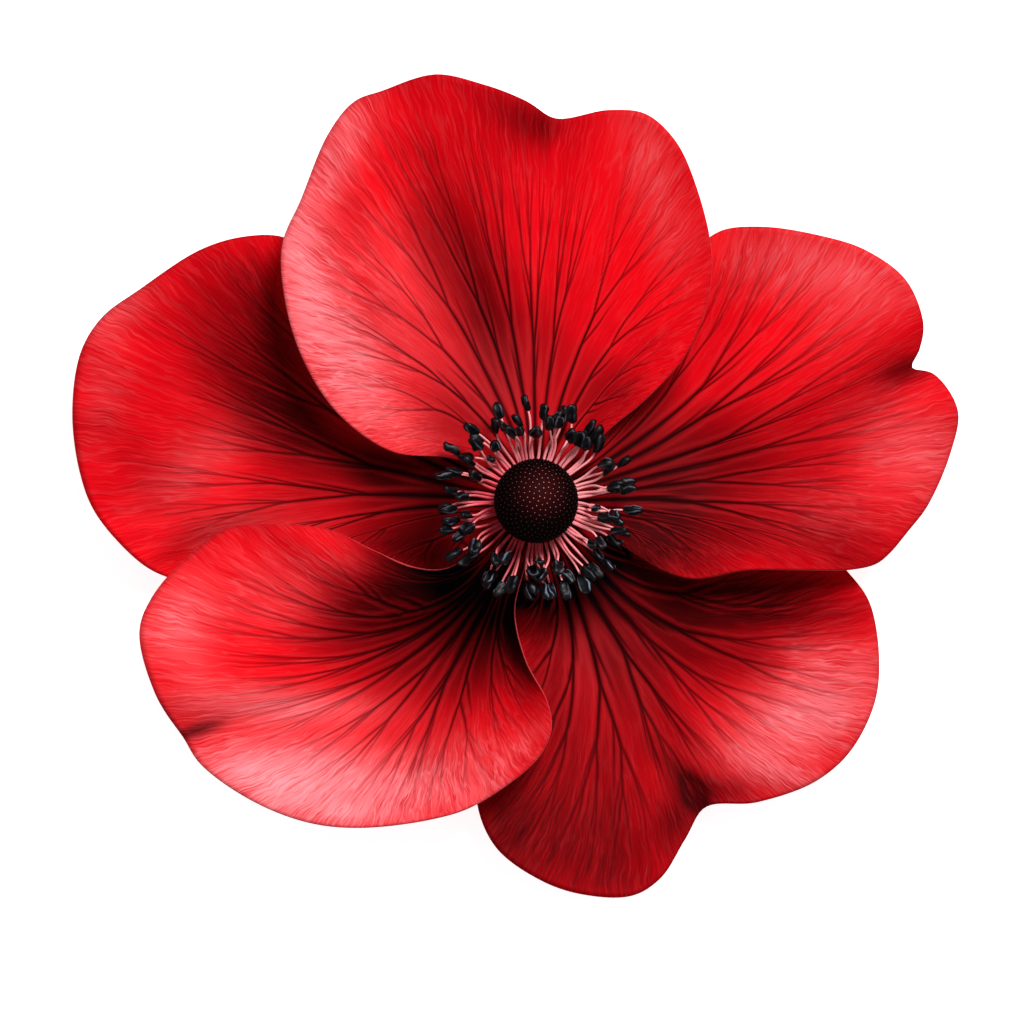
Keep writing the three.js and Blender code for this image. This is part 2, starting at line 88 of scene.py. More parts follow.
# A margin runs clockwise, seen from above, as (x, y, rise) points. Soft spots of painted shade
# (painted light where the strength is below 0) and of painted pale sheen are (x, y, half length,
# half width, angle, strength).
TEPALS = {
    "top": {
        "direction": 93,
        "claw_half_angle": 42,
        "vein_spread": 0.5,
        "vein_handle": (0.5, 14),
        "side_lifts": (0.9, 1),
        "claw_height": 4.2,
        "claw_flare": (0, 0),
        "margin": [
            (-4.7, 3.2, 0.3), (-8.9, 4.3, 1), (-14.45, 4.9, 3), (-19.9, 8.7, 5.5),
            (-23.45, 14.3, 7.5), (-25.15, 20.2, 8.8), (-25.35, 25.5, 9.2), (-23.5, 30, 9),
            (-20.85, 36.5, 8.5), (-18.3, 39.8, 8), (-15.45, 41, 7.2), (-10, 42.6, 8.6),
            (-5.2, 41.55, 9.2), (-1.4, 40.15, 8), (2, 38.35, 5.6), (7.5, 39, 8.8),
            (11, 38.5, 10.2), (13.85, 35.9, 10.6), (15.95, 31.5, 9.6), (17.6, 24.7, 8),
            (17.2, 19.9, 6.6), (15.1, 14.6, 4.8), (11, 10, 3), (7.8, 7.4, 1.8), (4.5, 4.3, 0.5),
        ],
        "veins": 13,
        "vein_girth": 0.85,
        "base_strength": 0,
        "base_reach": (6, 13),
        "folds": [
            (0.4, 0.05, -0.25), (0.57, 0.03, -0.3), (0.25, 0.05, 0.15), (0.7, 0.06, 0.2),
        ],
        "shades": [
            (-11.2, 26, 8, 2.2, 106, 0.36), (-7.5, 25, 8, 2.8, 104, 0.6),
            (-4.8, 16, 8, 2.2, 99, 0.42), (-3, 19, 9, 1.6, 99, 0.2), (0.6, 38.2, 4, 2.6, -5, 0.6),
            (-4, 39.6, 5, 1.8, -22, 0.28), (0, 36.2, 4, 2.4, 0, 0.25), (0.5, 33, 6, 1.6, 88, 0.3),
            (1, 14, 10, 6, 97, 0.5), (8, 11, 6, 3.5, 45, 0.5), (-8, 8, 5, 4, 120, 0.45),
            (9, 30, 12, 8, 100, -1), (-9, 40, 4, 3, 0, -0.3), (2.5, 25, 7, 2.2, 92, -0.35),
            (13, 20, 6, 4, 80, -0.5),
        ],
        "pales": [
            (-20, 35, 6, 2.2, 65, 0.3), (-23.4, 23.5, 8, 2.6, 98, 0.5),
            (-20, 13, 7, 2.6, 122, 0.36), (-18.5, 16.5, 7, 1.8, 122, 0.2),
            (-14.5, 7.6, 6, 2.2, 150, 0.12), (-15, 19, 9, 6, 110, 0.12),
            (12, 32, 8, 2.4, 110, 0.15), (-4, 11, 5, 4, 100, 0.07),
        ],
    },
    "right": {
        "direction": 12,
        "claw_half_angle": 40,
        "vein_spread": 0.4,
        "vein_handle": (0.5, 16),
        "side_lifts": (0, 1),
        "claw_height": 3.2,
        "claw_flare": (0, 0.3),
        "margin": [
            (3.4, 5, 0), (7.4, 8.8, 0.2), (10.2, 13.8, 0.8), (13.2, 19.6, 2.2), (15.6, 24.4, 4),
            (18.3, 27, 6), (22.5, 27.45, 7.6), (28.15, 26.55, 9), (32.7, 25.1, 9.6),
            (36.8, 22.1, 9.8), (38.6, 18, 8.6), (38.4, 15.5, 7), (37.7, 13.4, 5.8),
            (40, 12.5, 7.2), (42.1, 8.9, 9), (41.4, 4.9, 9), (39.1, -0.5, 8.6),
            (37.05, -3.2, 8.2), (35.2, -5.4, 7.8), (33.9, -6.4, 7.6), (31.3, -7, 7.2),
            (26.2, -7.05, 6.2), (21.1, -7.05, 5), (16, -7.9, 3.8), (13.1, -7.2, 2.8),
            (10.3, -5.6, 1.5), (6.8, -3.4, 0.5),
        ],
        "veins": 14,
        "vein_girth": 0.95,
        "base_strength": 0.3,
        "base_reach": (7, 12.5),
        "folds": [
            (0.46, 0.03, -0.25), (0.3, 0.05, 0.2), (0.7, 0.06, 0.15),
        ],
        "shades": [
            (11.5, 10, 9, 2.2, 55, 0.55), (12.5, 3.4, 9, 7, 25, 0.7), (15, -3, 10, 3, -6, 0.25),
            (11.5, -1, 4, 5, 0, 0.5), (14.5, -6, 8, 2.2, -14, 0.5), (10, -8, 4, 2, -30, 1),
            (31, 9.5, 9, 2.4, 15, 0.35), (37, 13.2, 3, 1.8, 20, 0.9), (21, 3.5, 9, 4.4, 12, 0.48),
            (23, -3.2, 11, 2.6, -3, 0.4), (32, -6.4, 6, 1.4, 0, 0.45), (28, 20, 13, 8, 25, -1),
            (36, 2, 4, 5, 0, -0.1), (23, 11, 8, 2.2, 28, 0.22), (32, -4, 5, 1.6, 0, 0.2),
            (38.5, 10.5, 4, 2.4, 20, -0.4),
        ],
        "pales": [
            (33, 20, 6, 3, 40, 0.1), (28, 23.5, 8, 3, -10, 0.25), (38, 5, 4, 5, 75, 0.2),
            (30, -1, 7, 3, 0, 0.06), (13, 0, 4, 5, 0, 0.05),
        ],
    },
    "lower_right": {
        "direction": -60,
        "claw_half_angle": 36,
        "vein_spread": 0.1,
        "vein_handle": (0.6, 18),
        "side_lifts": (0, 0),
        "claw_height": 2.2,
        "claw_flare": (1.2, 0),
        "margin": [
            (6.2, -2.5, 0), (12, -3.9, 0.4), (19, -3.8, 1.6), (25.5, -3.8, 2.8),
            (29.5, -5.2, 3.8), (31.3, -7.1, 4.6), (33.4, -10.1, 6), (34.3, -15.6, 7.8),
            (33.8, -20.2, 8.6), (31.3, -25.1, 8.6), (27.8, -28.1, 8), (22.2, -30.15, 6.4),
            (17, -30.8, 3.8), (14.95, -34, 4.6), (12.5, -37.8, 5.6), (9.6, -39.55, 5.8),
            (4.5, -39.4, 5.6), (0.3, -37.95, 5.2), (-4, -34.8, 4.4), (-5.9, -30.5, 3.2),
            (-5.6, -26, 2), (-4.2, -20.5, 0.8), (-3.4, -14, 0.2), (-2.4, -9, 0), (-2.2, -6, 0),
        ],
        "veins": 9,
        "vein_girth": 1.5,
        "base_strength": 1,
        "base_reach": (9.5, 15.5),
        "folds": [
            (0.48, 0.03, -0.25), (0.25, 0.06, 0.15), (0.75, 0.06, 0.15),
        ],
        "shades": [
            (19.5, -9.4, 12, 2.8, -3, 1.05), (19, -11.5, 9, 2.2, -3, 0.6),
            (10.5, -9.2, 5, 2.4, -25, 1), (18.5, -15.5, 7, 2.8, -12, 0.6),
            (16.2, -29.6, 2.4, 1.4, 112, 0.8), (14.2, -31.8, 2.6, 2, 60, 0.5),
            (14.6, -27.6, 4, 1.3, 130, 0.55), (6, -36.5, 11, 5.4, 0, 0.7),
            (-3.5, -32, 4, 5, 0, 0.65), (6, -30, 5, 3, 0, 0.2), (1.5, -15, 3, 6, 0, 0.5),
            (1.5, -26, 4, 8, 0, 0.5), (6.5, -16, 8, 2.6, -82, 0.3), (10, -8.6, 4, 1.6, -30, 0.5),
            (9, -26, 6, 8, 15, 0.35), (10, -17, 10, 3, -60, 0.55), (14.5, -16, 7, 2.5, -50, 0.3),
            (19, -29, 4, 1.4, 0, 0.4), (11, -9, 3.6, 2, -20, 1), (28, -17, 4, 2.6, 0, -0.35),
        ],
        "pales": [
            (27.5, -21.3, 7, 3.8, 30, 0.48), (24, -27, 5, 1.4, -25, 0.25),
            (29, -15.5, 4, 1.5, -8, 0.12), (6, -14, 6, 5, -60, 0.06),
        ],
    },
    "lower_left": {
        "direction": 242,
        "claw_half_angle": 34,
        "vein_spread": 0,
        "vein_handle": (0.7, 20),
        "side_lifts": (1.2, 1.8),
        "claw_height": 4.2,
        "claw_flare": (0, 1.4),
        "margin": [
            (-0.9, -6.6, 0.8), (-1.9, -10.9, 2), (-0.9, -15.7, 3.6), (1.2, -19.8, 5),
            (1.7, -22.4, 5.8), (1.2, -24.3, 6.3), (-0.4, -26.5, 6.8), (-6.1, -30.5, 7.2),
            (-10, -31.8, 7.4), (-17.3, -32.7, 8), (-22.7, -32.15, 8.8), (-28.35, -29.95, 9),
            (-33.5, -26.4, 7.4), (-35.4, -23.6, 5.6), (-38.15, -18.9, 8), (-39.55, -13, 9),
            (-38.4, -9.7, 8), (-34.8, -5.5, 6.2), (-30.4, -2.6, 4.8), (-25.3, -2.3, 3.8),
            (-20.5, -2.9, 2.6), (-15.6, -5.1, 1.8), (-12, -6.5, 1.2), (-9, -6.6, 0.8),
            (-6.2, -5.2, 0.3),
        ],
        "veins": 12,
        "vein_girth": 1.1,
        "base_strength": 1,
        "base_reach": (11.5, 20),
        "folds": [
            (0.52, 0.03, -0.2), (0.3, 0.05, 0.15),
        ],
        "shades": [
            (-34, -22.9, 3.5, 0.9, 22, 1), (-15, -10, 9, 4.4, 206, 1.15),
            (-9, -13.5, 8, 5, 228, 0.9), (-5.5, -17, 5, 3, 245, 0.45),
            (-0.8, -13.5, 7, 2.4, -86, 0.9), (-31, -15, 9, 7, 0, -0.7),
        ],
        "pales": [
            (-28, -28, 5, 2.2, -25, 0.32), (-23.5, -27.8, 8, 3.4, -6, 0.62),
            (-19, -31.4, 5, 1.2, -4, 0.3), (-13, -29.8, 8, 2.2, 3, 0.24),
            (-9, -27, 7, 3, 10, 0.15), (-3, -26.5, 6, 1.2, 48, 0.12), (-36, -12, 4, 3, 60, 0.28),
            (-34, -17, 5, 2.4, 100, 0.1), (-27, -9, 8, 4, 15, 0.08),
            (-26, -20.5, 8, 1.8, -4, 0.4),
        ],
    },
    "left": {
        "direction": 170,
        "claw_half_angle": 40,
        "vein_spread": 0.3,
        "vein_handle": (0.5, 16),
        "side_lifts": (0, 0),
        "claw_height": 2.2,
        "claw_flare": (0, 0),
        "margin": [
            (-4.6, -5.4, 0), (-8.4, -7.8, 0), (-13.8, -8.4, 0), (-20.5, -7.8, 0.2),
            (-28, -8.2, 1.2), (-33.5, -8.6, 2.6), (-37.3, -7.5, 4), (-40.1, -5.8, 5.6),
            (-44, -1.3, 7), (-45.5, 2.6, 8), (-46.25, 8.7, 9), (-45.4, 14.8, 9.5),
            (-43.3, 18.3, 9.2), (-39.7, 21.05, 8.4), (-33.6, 25.1, 7.6), (-29.1, 26.5, 6.2),
            (-25.1, 26.4, 4.5), (-21.5, 24, 3.2), (-18, 18.5, 2), (-13.5, 12, 1),
            (-8.5, 6.6, 0.4), (-4.2, 4.6, 0),
        ],
        "veins": 10,
        "vein_girth": 1,
        "base_strength": 0.65,
        "base_reach": (10, 16),
        "folds": [
            (0.35, 0.05, -0.15), (0.6, 0.05, 0.15),
        ],
        "shades": [
            (-26, 14.5, 9, 3, 113, 0.72), (-27.5, 22.5, 4, 1.8, 100, 0.28),
            (-23, 7.2, 8, 2.8, 138, 0.42), (-31.5, 16, 8, 4, 112, 0.5),
            (-26.5, 7, 8, 3.2, 127, 0.5), (-17, 4, 5, 1.8, 157, 0.5),
            (-12.5, 2, 6, 3.4, 172, 1.1), (-13, -4.8, 6, 3, -20, 0.9), (-18, -8, 4, 2, -30, 0.6),
            (-39, 5, 7, 4, 0, 0.18), (-33, -3, 9, 1.5, 20, 0.4), (-28, -6, 7, 2, 0, 0.2),
            (-38, 12, 5, 3, 40, 0.1), (-38, 21, 5, 1.6, 35, -0.15), (-39, -5, 3, 1.2, 30, -0.25),
        ],
        "pales": [
            (-43, 12, 6, 2, 80, 0.06), (-42.5, 19, 4, 2, 35, 0.15), (-28, -4, 6, 3, 0, 0.12),
            (-34, 4, 6, 2.5, 40, 0.1),
        ],
    },
}


def heart():
    """Where the flower's heart stands: under the middle of the receptacle, on the surface."""
    low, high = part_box("receptacle")
    return Vector(((low.x + high.x) / 2, (low.y + high.y) / 2, low.z - STALK_CUT * MM))


HEART = heart()


def placed(points):
    """Millimetres from the heart, as an array, turned into metres in the part's frame."""
    return np.asarray(points, float) * MM + np.array(HEART)


def ramp(value, start, end):
    """0 below start, 1 above end and smooth between them."""
    share = np.clip((value - start) / (end - start), 0, 1)
    return share * share * (3 - 2 * share)


def lerp(a, b, share):
    return a + (b - a) * share


def bell(value, middle, width):
    """1 at the middle, falling away softly to both sides."""
    return np.exp(-(((value - middle) / width) ** 2))


def draw(index, purpose):
    """A repeatable draw from 0 to 1, the same as the one that places the solid stamens."""
    wave = math.sin(index * 12.9898 + purpose * 78.233) * 43758.5453
    return wave - math.floor(wave)


def round_points(radius, height, sides):
    """The points of a level ring."""
    turns = np.arange(sides) * 2 * np.pi / sides
    return [(radius * np.cos(turn), radius * np.sin(turn), height) for turn in turns]


def catmull_rom(points, shares):
    """Positions at the given shares of a centripetal Catmull-Rom curve through the points."""
    points = np.asarray(points, float)
    padded = np.vstack([2 * points[0] - points[1], points, 2 * points[-1] - points[-2]])
    place = np.clip(shares, 0, 1) * (len(points) - 1)
    span = np.minimum(place.astype(int), len(points) - 2)
    w = (place - span)[:, None]
    p0, p1, p2, p3 = (padded[span + k] for k in range(4))
    knots = ((p0, p1), (p1, p2), (p2, p3))
    d0, d1, d2 = (np.sqrt(np.linalg.norm(b - a, axis=1))[:, None] for a, b in knots)
    leaving = ((p1 - p0) / d0 - (p2 - p0) / (d0 + d1) + (p2 - p1) / d1) * d1
    arriving = ((p2 - p1) / d1 - (p3 - p1) / (d1 + d2) + (p3 - p2) / d2) * d1
    square = 3 * (p2 - p1) - 2 * leaving - arriving
    cube = 2 * (p1 - p2) + leaving + arriving
    return p1 + leaving * w + square * w**2 + cube * w**3


# ---- Nodes: one way to write every tree, and sockets that do arithmetic ----


class Value:
    """A node's output. Arithmetic on one that carries a number adds Math nodes to its tree."""

    def __init__(self, nodes, socket):
        self.nodes = nodes
        self.socket = socket

    def math(self, operation, *others):
        node = self.nodes.add("ShaderNodeMath", {"operation": operation})
        for slot, value in enumerate((self, *others)):
            self.nodes.feed(node.inputs[slot], value)
        return Value(self.nodes, node.outputs[0])

    def __add__(self, other):
        return self.math("ADD", other)

    def __sub__(self, other):
        return self.math("SUBTRACT", other)

    def __rsub__(self, other):
        return (self * -1).math("ADD", other)

    def __mul__(self, other):
        return self.math("MULTIPLY", other)

    def __truediv__(self, other):
        return self.math("DIVIDE", other)

    __radd__ = __add__
    __rmul__ = __mul__

    def clamped(self):
        return self.nodes.out("ShaderNodeClamp", Value=self)

    def between(self, start, end):
        """0 below start, 1 above end and smooth between them."""
        values = {"Value": self, "From Min": start, "From Max": end}
        return self.nodes.out("ShaderNodeMapRange", {"interpolation_type": "SMOOTHSTEP"}, **values)


class Nodes:
    """A node tree that is written as calls: settings first, then the sockets' values or links.

    A socket is called by its identifier, or by its name with _ in place of each space.
    """

    def __init__(self, tree):
        self.tree = tree

    def feed(self, socket, value):
        """Links or sets a socket. Three numbers do for a colour."""
        if isinstance(value, Value):
            self.tree.links.new(value.socket, socket)
        elif socket.type == "RGBA":
            socket.default_value = (*value, 1.0)[:4]
        else:
            socket.default_value = value

    def give(self, node, **values):
        """Feeds a node's sockets."""
        sockets = {socket.identifier: socket for socket in node.inputs}
        for name, value in values.items():
            self.feed(sockets.get(name) or node.inputs[name.replace("_", " ")], value)
        return node

    def add(self, kind, settings=None, **values):
        """A new node with its settings made and its sockets fed."""
        node = self.tree.nodes.new(kind)
        for name, setting in (settings or {}).items():
            setattr(node, name, setting)
        return self.give(node, **values)

    def out(self, kind, settings=None, output=0, **values):
        """An output of a new node."""
        return Value(self, self.add(kind, settings, **values).outputs[output])

    def vector(self, operation, output=0, **values):
        """The result of Vector Math."""
        return self.out("ShaderNodeVectorMath", {"operation": operation}, output, **values)

    def mix(self, factor, first, second):
        """Colour between two colours."""
        values = {"Factor_Float": factor, "A_Color": first, "B_Color": second}
        return self.out("ShaderNodeMix", {"data_type": "RGBA"}, 2, **values)

    def noise(self, vector, scale, detail=2.0, roughness=0.5):
        """Noise from 0 to 1. A scale of three numbers stretches it."""
        if isinstance(scale, tuple):
            vector = self.out("ShaderNodeMapping", Vector=vector, Scale=scale)
            scale = 1.0
        values = {"Scale": scale, "Detail": detail, "Roughness": roughness}
        return self.out("ShaderNodeTexNoise", Vector=vector, **values)


class Finish(Nodes):
    """The nodes of a new material. Constants are set on its Principled shader's own sockets."""

    def __init__(self, name, **constants):
        self.material = bpy.data.materials.new(name)
        self.material.use_nodes = True
        super().__init__(self.material.node_tree)
        self.shader = self.give(self.tree.nodes["Principled BSDF"], **constants)

    def attributes(self, *names):
        """Numbers that a mesh keeps under these names."""
        kind = "ShaderNodeAttribute"
        return [self.out(kind, {"attribute_name": name}, "Fac") for name in names]

    def place(self):
        """Object coordinates."""
        return self.out("ShaderNodeTexCoord", output="Object")

    def made(self, colour, roughness, height=None, strength=0.3, depth=0.05):
        """The material with what changes over its surface; depth is the bump's, in mm."""
        self.give(self.shader, Base_Color=colour, Roughness=roughness)
        if height is not None:
            values = {"Height": height, "Strength": strength, "Distance": depth * MM}
            self.give(self.shader, Normal=self.out("ShaderNodeBump", **values))
        return self.material


class Shaping(Nodes):
    """A new Geometry Nodes tree: a geometry in and out, and an input for each named value."""

    KINDS = {
        float: "Float",
        int: "Int",
        tuple: "Vector",
        bpy.types.Object: "Object",
        bpy.types.Material: "Material",
    }

    def __init__(self, name, values):
        super().__init__(bpy.data.node_groups.new(name, "GeometryNodeTree"))
        self.values = values
        ends = self.tree.interface
        for way in ("INPUT", "OUTPUT"):
            ends.new_socket("Geometry", in_out=way, socket_type="NodeSocketGeometry")
        for label, value in values.items():
            kind = "NodeSocket" + self.KINDS[type(value)]
            ends.new_socket(label, in_out="INPUT", socket_type=kind)
        self.given = self.add("NodeGroupInput").outputs

    def __getitem__(self, label):
        """One of the tree's inputs."""
        return Value(self, self.given[label])

    def drawn(self, low, high):
        """A seeded draw for each point."""
        values = {"Min_001": low, "Max_001": high, "Seed": self["Seed"]}
        return self.out("FunctionNodeRandomValue", {"data_type": "FLOAT"}, 1, **values)

    def upward(self, direction):
        """The rotation that points +Z in a direction."""
        return self.out("FunctionNodeAlignRotationToVector", {"axis": "Z"}, Vector=direction)

    def height(self, vector):
        return self.out("ShaderNodeSeparateXYZ", output="Z", Vector=vector)

    def repeated(self, **values):
        """An instance on each point, realized."""
        instances = self.out("GeometryNodeInstanceOnPoints", **values)
        return self.out("GeometryNodeRealizeInstances", Geometry=instances)

    def painted(self, geometry, label):
        """The geometry with the material that is the input of that name."""
        return self.out("GeometryNodeSetMaterial", Geometry=geometry, Material=self[label])

    def joined(self, *parts):
        node = self.add("GeometryNodeJoinGeometry")
        for part in parts:
            self.feed(node.inputs[0], part)
        return Value(self, node.outputs[0])

    def run_on(self, host, name):
        """Runs the tree on the host and keeps the result as a piece, without host and forms."""
        modifier = host.modifiers.new(self.tree.name, "NODES")
        modifier.node_group = self.tree
        for item in self.tree.interface.items_tree:
            if item.in_out == "INPUT" and item.name in self.values:
                modifier[item.identifier] = self.values[item.name]
        depsgraph = bpy.context.evaluated_depsgraph_get()
        mesh = bpy.data.meshes.new_from_object(
            host.evaluated_get(depsgraph), preserve_all_data_layers=True, depsgraph=depsgraph
        )
        host.modifiers.remove(modifier)
        while mesh.materials and mesh.materials[0] is None:
            mesh.materials.pop(index=0)
        forms = [value for value in self.values.values() if isinstance(value, bpy.types.Object)]
        for helper in (host, *forms):
            bpy.data.objects.remove(helper)
        return in_scene(name, mesh)


# ---- Meshes and pieces ----


def in_scene(name, data):
    made = bpy.data.objects.new(name, data)
    bpy.context.scene.collection.objects.link(made)
    return made


def mesh_object(name, points, faces, edges=(), smooth=True):
    """A mesh object whose points are given in metres in the part's frame."""
    mesh = bpy.data.meshes.new(name)
    mesh.from_pydata([tuple(point) for point in points], edges, [tuple(face) for face in faces])
    mesh.update()
    if smooth:
        mesh.shade_smooth()
    return in_scene(name, mesh)


def set_attributes(mesh, **layers):
    """Keeps one number for each point under each name."""
    for name, values in layers.items():
        layer = mesh.attributes.new(name, "FLOAT", "POINT")
        layer.data.foreach_set("value", np.asarray(values, np.float32))


def hand_over(piece, node, material=None):
    """Ties a finished piece to the part: it rides on the root body, takes the place of a node, and
    gets the material if one is given.
    """
    if material:
        piece.data.materials.append(material)
    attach(piece, "root")
    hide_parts(node)


def grid_faces(rows, columns, first=0, closed=False):
    """Quads of a grid of points; a closed one joins its last column to its first."""
    width = columns if closed else columns + 1
    faces = []
    for row in range(rows):
        for column in range(columns):
            a = first + row * width + column
            b = first + row * width + (column + 1) % width
            faces.append((a, b, b + width, a + width))
    return faces


def ring_faces(rings, sides):
    """Faces of a closed body whose points are a pole, rings of them and another pole."""
    faces = grid_faces(rings - 1, sides, 1, closed=True)
    last = rings * sides + 1
    for k in range(sides):
        after = (k + 1) % sides
        faces.append((0, 1 + after, 1 + k))
        faces.append((last, last - sides + k, last - sides + after))
    return faces


def turned(name, profile):
    """A closed body turned round the heart's axis from (radius, height) points."""
    points = [(0, 0, profile[0][1])]
    for radius, height in profile:
        points += round_points(radius, height, TURNED_SIDES)
    points.append((0, 0, profile[-1][1]))
    return mesh_object(name, placed(points), ring_faces(len(profile), TURNED_SIDES))


# ---- Tepals ----

COARSE = 4  # cells of a tepal's upper face along one cell of its underside
MARGIN_SAMPLES = 1201
FLARE_SHARE = 0.1  # of the margin at each side, where the claw flares
FLARE_END = 0.8  # t where the flare is back at nothing
SIDES_LIFTED = ((0.15, 0.5), (0.5, 0.85))  # shares of the margin where the lifts fade and grow
MID_HEIGHT = 0.25  # the middle of the blade above the surface that the solid's underside follows
THIN_FROM = 0.9  # t beyond which the blade thins and its veins run out
THIN_EDGE = 0.55  # of the thickness that goes at the margin
THIN_SIDE = 0.5  # of the thickness that goes at the two sides
SIDE_SHARE = 0.02
FOLD_GROWS = (0.15, 0.6)  # t
FOLD_FADES = (0.8, 1)
FOLD_FADING = 0.5
UV_SCALE = 100  # mm of margin along one unit of the blade's UV map

# A vein's lengths are in t. Girths and darknesses are shares of those of the vein before.
VEIN_STEPS = 28
VEIN_END = 0.98
VEIN_HALF_WIDTHS = (0.25, 0.09)  # mm, at the root and at the margin
THINNING = 0.75  # the power of t with which a vein gets thinner
OUTER = (0.45, 1)
OUTER_FADING = 0.6
TIP_LENGTH = 0.12
TIP_POWER = 0.6
WAVES = ((17, 1), (41, 0.5))  # (quickness, strength) of a vein's sway along the margin
SWAY = 0.0011
PHASES = 6.3  # a wave starts anywhere in about a full turn
ROOT_TURNING = 3
TURNING = 8
SHARE_WIDTHS = (0.65, 1.35)  # pairs such as this are the least and the most that is drawn
FIRST_GIRTHS = (0.8, 1.2)
FIRST_DARKNESSES = (0.85, 1)
FORK_GAPS = ((0.36, 0.54), (0.14, 0.22), (0.1, 0.15))
LAST_LENGTH = (0.14, 0.24)
MIDDLE = (0.4, 0.6)
SPLIT = (0.35, 0.65)
SIDE_FROM = 0.45  # of a vein's length, where side veins start to leave
SIDE_AIM = 0.75  # of the way from the middle to an end of the share
SIDE_LENGTH = 0.2
SIDE_GIRTH = 0.7
SIDE_DARKNESS = 0.85
FORK_GIRTH = 0.86
FORK_DARKNESS = 0.95

# Across a vein, in its half widths: how far it reaches, its soft edge, and (middle, width) of the
# painted highlight of a ridge along each side.
LINE_REACH = 7
LINE_CORE = 0.85
SOFT_EDGE = 2.4
RIDGE_HIGHLIGHT = (3, 1.4)

FULL_SHADE = 1.6  # the total of soft spots that would leave no light
LEAST_LEFT = 0.25
EYE = 2.2  # the power from a step even to the eye to one of light
ROOT_BLOTCH = 0.55  # how black the blotch is at the root, of what it is further out
ROOT_SPAN = (6, 9)

# Patterns of the finish: (times along the margin, times out from the claw, 1), detail, roughness.
BANDS = ((20, 2.2, 1), 3.0, 0.55)
FIBRES = ((330, 7, 1), 3.0, 0.6)
THREADS = ((800, 20, 1), 2.0, 0.6)
STRANDS = ((110, 5, 1), 2.0, 0.5)
PATTERN_SWAY = 0.016


def underside(tepal, s, t):
    """Lower face in millimetres from the heart: s runs along the margin, t out from the claw."""
    tip = catmull_rom(tepal["margin"], s)
    turn = np.radians(tepal["direction"] + tepal["claw_half_angle"] * (1 - 2 * s))
    claw = CLAW_RADIUS * np.stack([np.cos(turn), np.sin(turn)], 1)
    reach = tip[:, :2] - claw
    length = np.linalg.norm(reach, axis=1)[:, None]
    heading = math.radians(tepal["direction"])
    axis = np.array([math.cos(heading), math.sin(heading)])
    leaving = lerp(axis, reach / length, tepal["vein_spread"])
    leaving /= np.linalg.norm(leaving, axis=1)[:, None]
    share, longest = tepal["vein_handle"]
    bend = claw + leaving * np.minimum(share * length, longest)
    u = t[:, None]
    plan = claw * (1 - u) ** 2 + 2 * bend * u * (1 - u) + tip[:, :2] * u**2
    start_flare, end_flare = tepal["claw_flare"]
    flare = start_flare * (1 - ramp(s, 0, FLARE_SHARE)) - end_flare * ramp(s, 1 - FLARE_SHARE, 1)
    aside = flare * np.sin(math.pi * np.minimum(t / FLARE_END, 1))
    plan += aside[:, None] * np.array([-axis[1], axis[0]])
    start_lift, end_lift = tepal["side_lifts"]
    fading, growing = (ramp(s, *share) for share in SIDES_LIFTED)
    lift = start_lift * (1 - fading) + end_lift * growing
    away = ramp(np.hypot(plan[:, 0], plan[:, 1]), CLAW_RADIUS, REST_RADIUS)
    cup = np.clip((t - CUP_START) / (1 - CUP_START), 0, None) ** CUP_POWER
    height = lerp(tepal["claw_height"], lift, away) + tip[:, 2] * cup
    return np.column_stack([plan, height])


def even_shares(tepal, columns):
    """Shares of the margin curve that lie evenly along its length, and that length."""
    shares = np.linspace(0, 1, MARGIN_SAMPLES)
    points = catmull_rom(tepal["margin"], shares)
    steps = np.linalg.norm(np.diff(points, axis=0), axis=1)
    run = np.concatenate([[0], np.cumsum(steps)])
    return np.interp(np.linspace(0, run[-1], columns + 1), run, shares), run[-1]


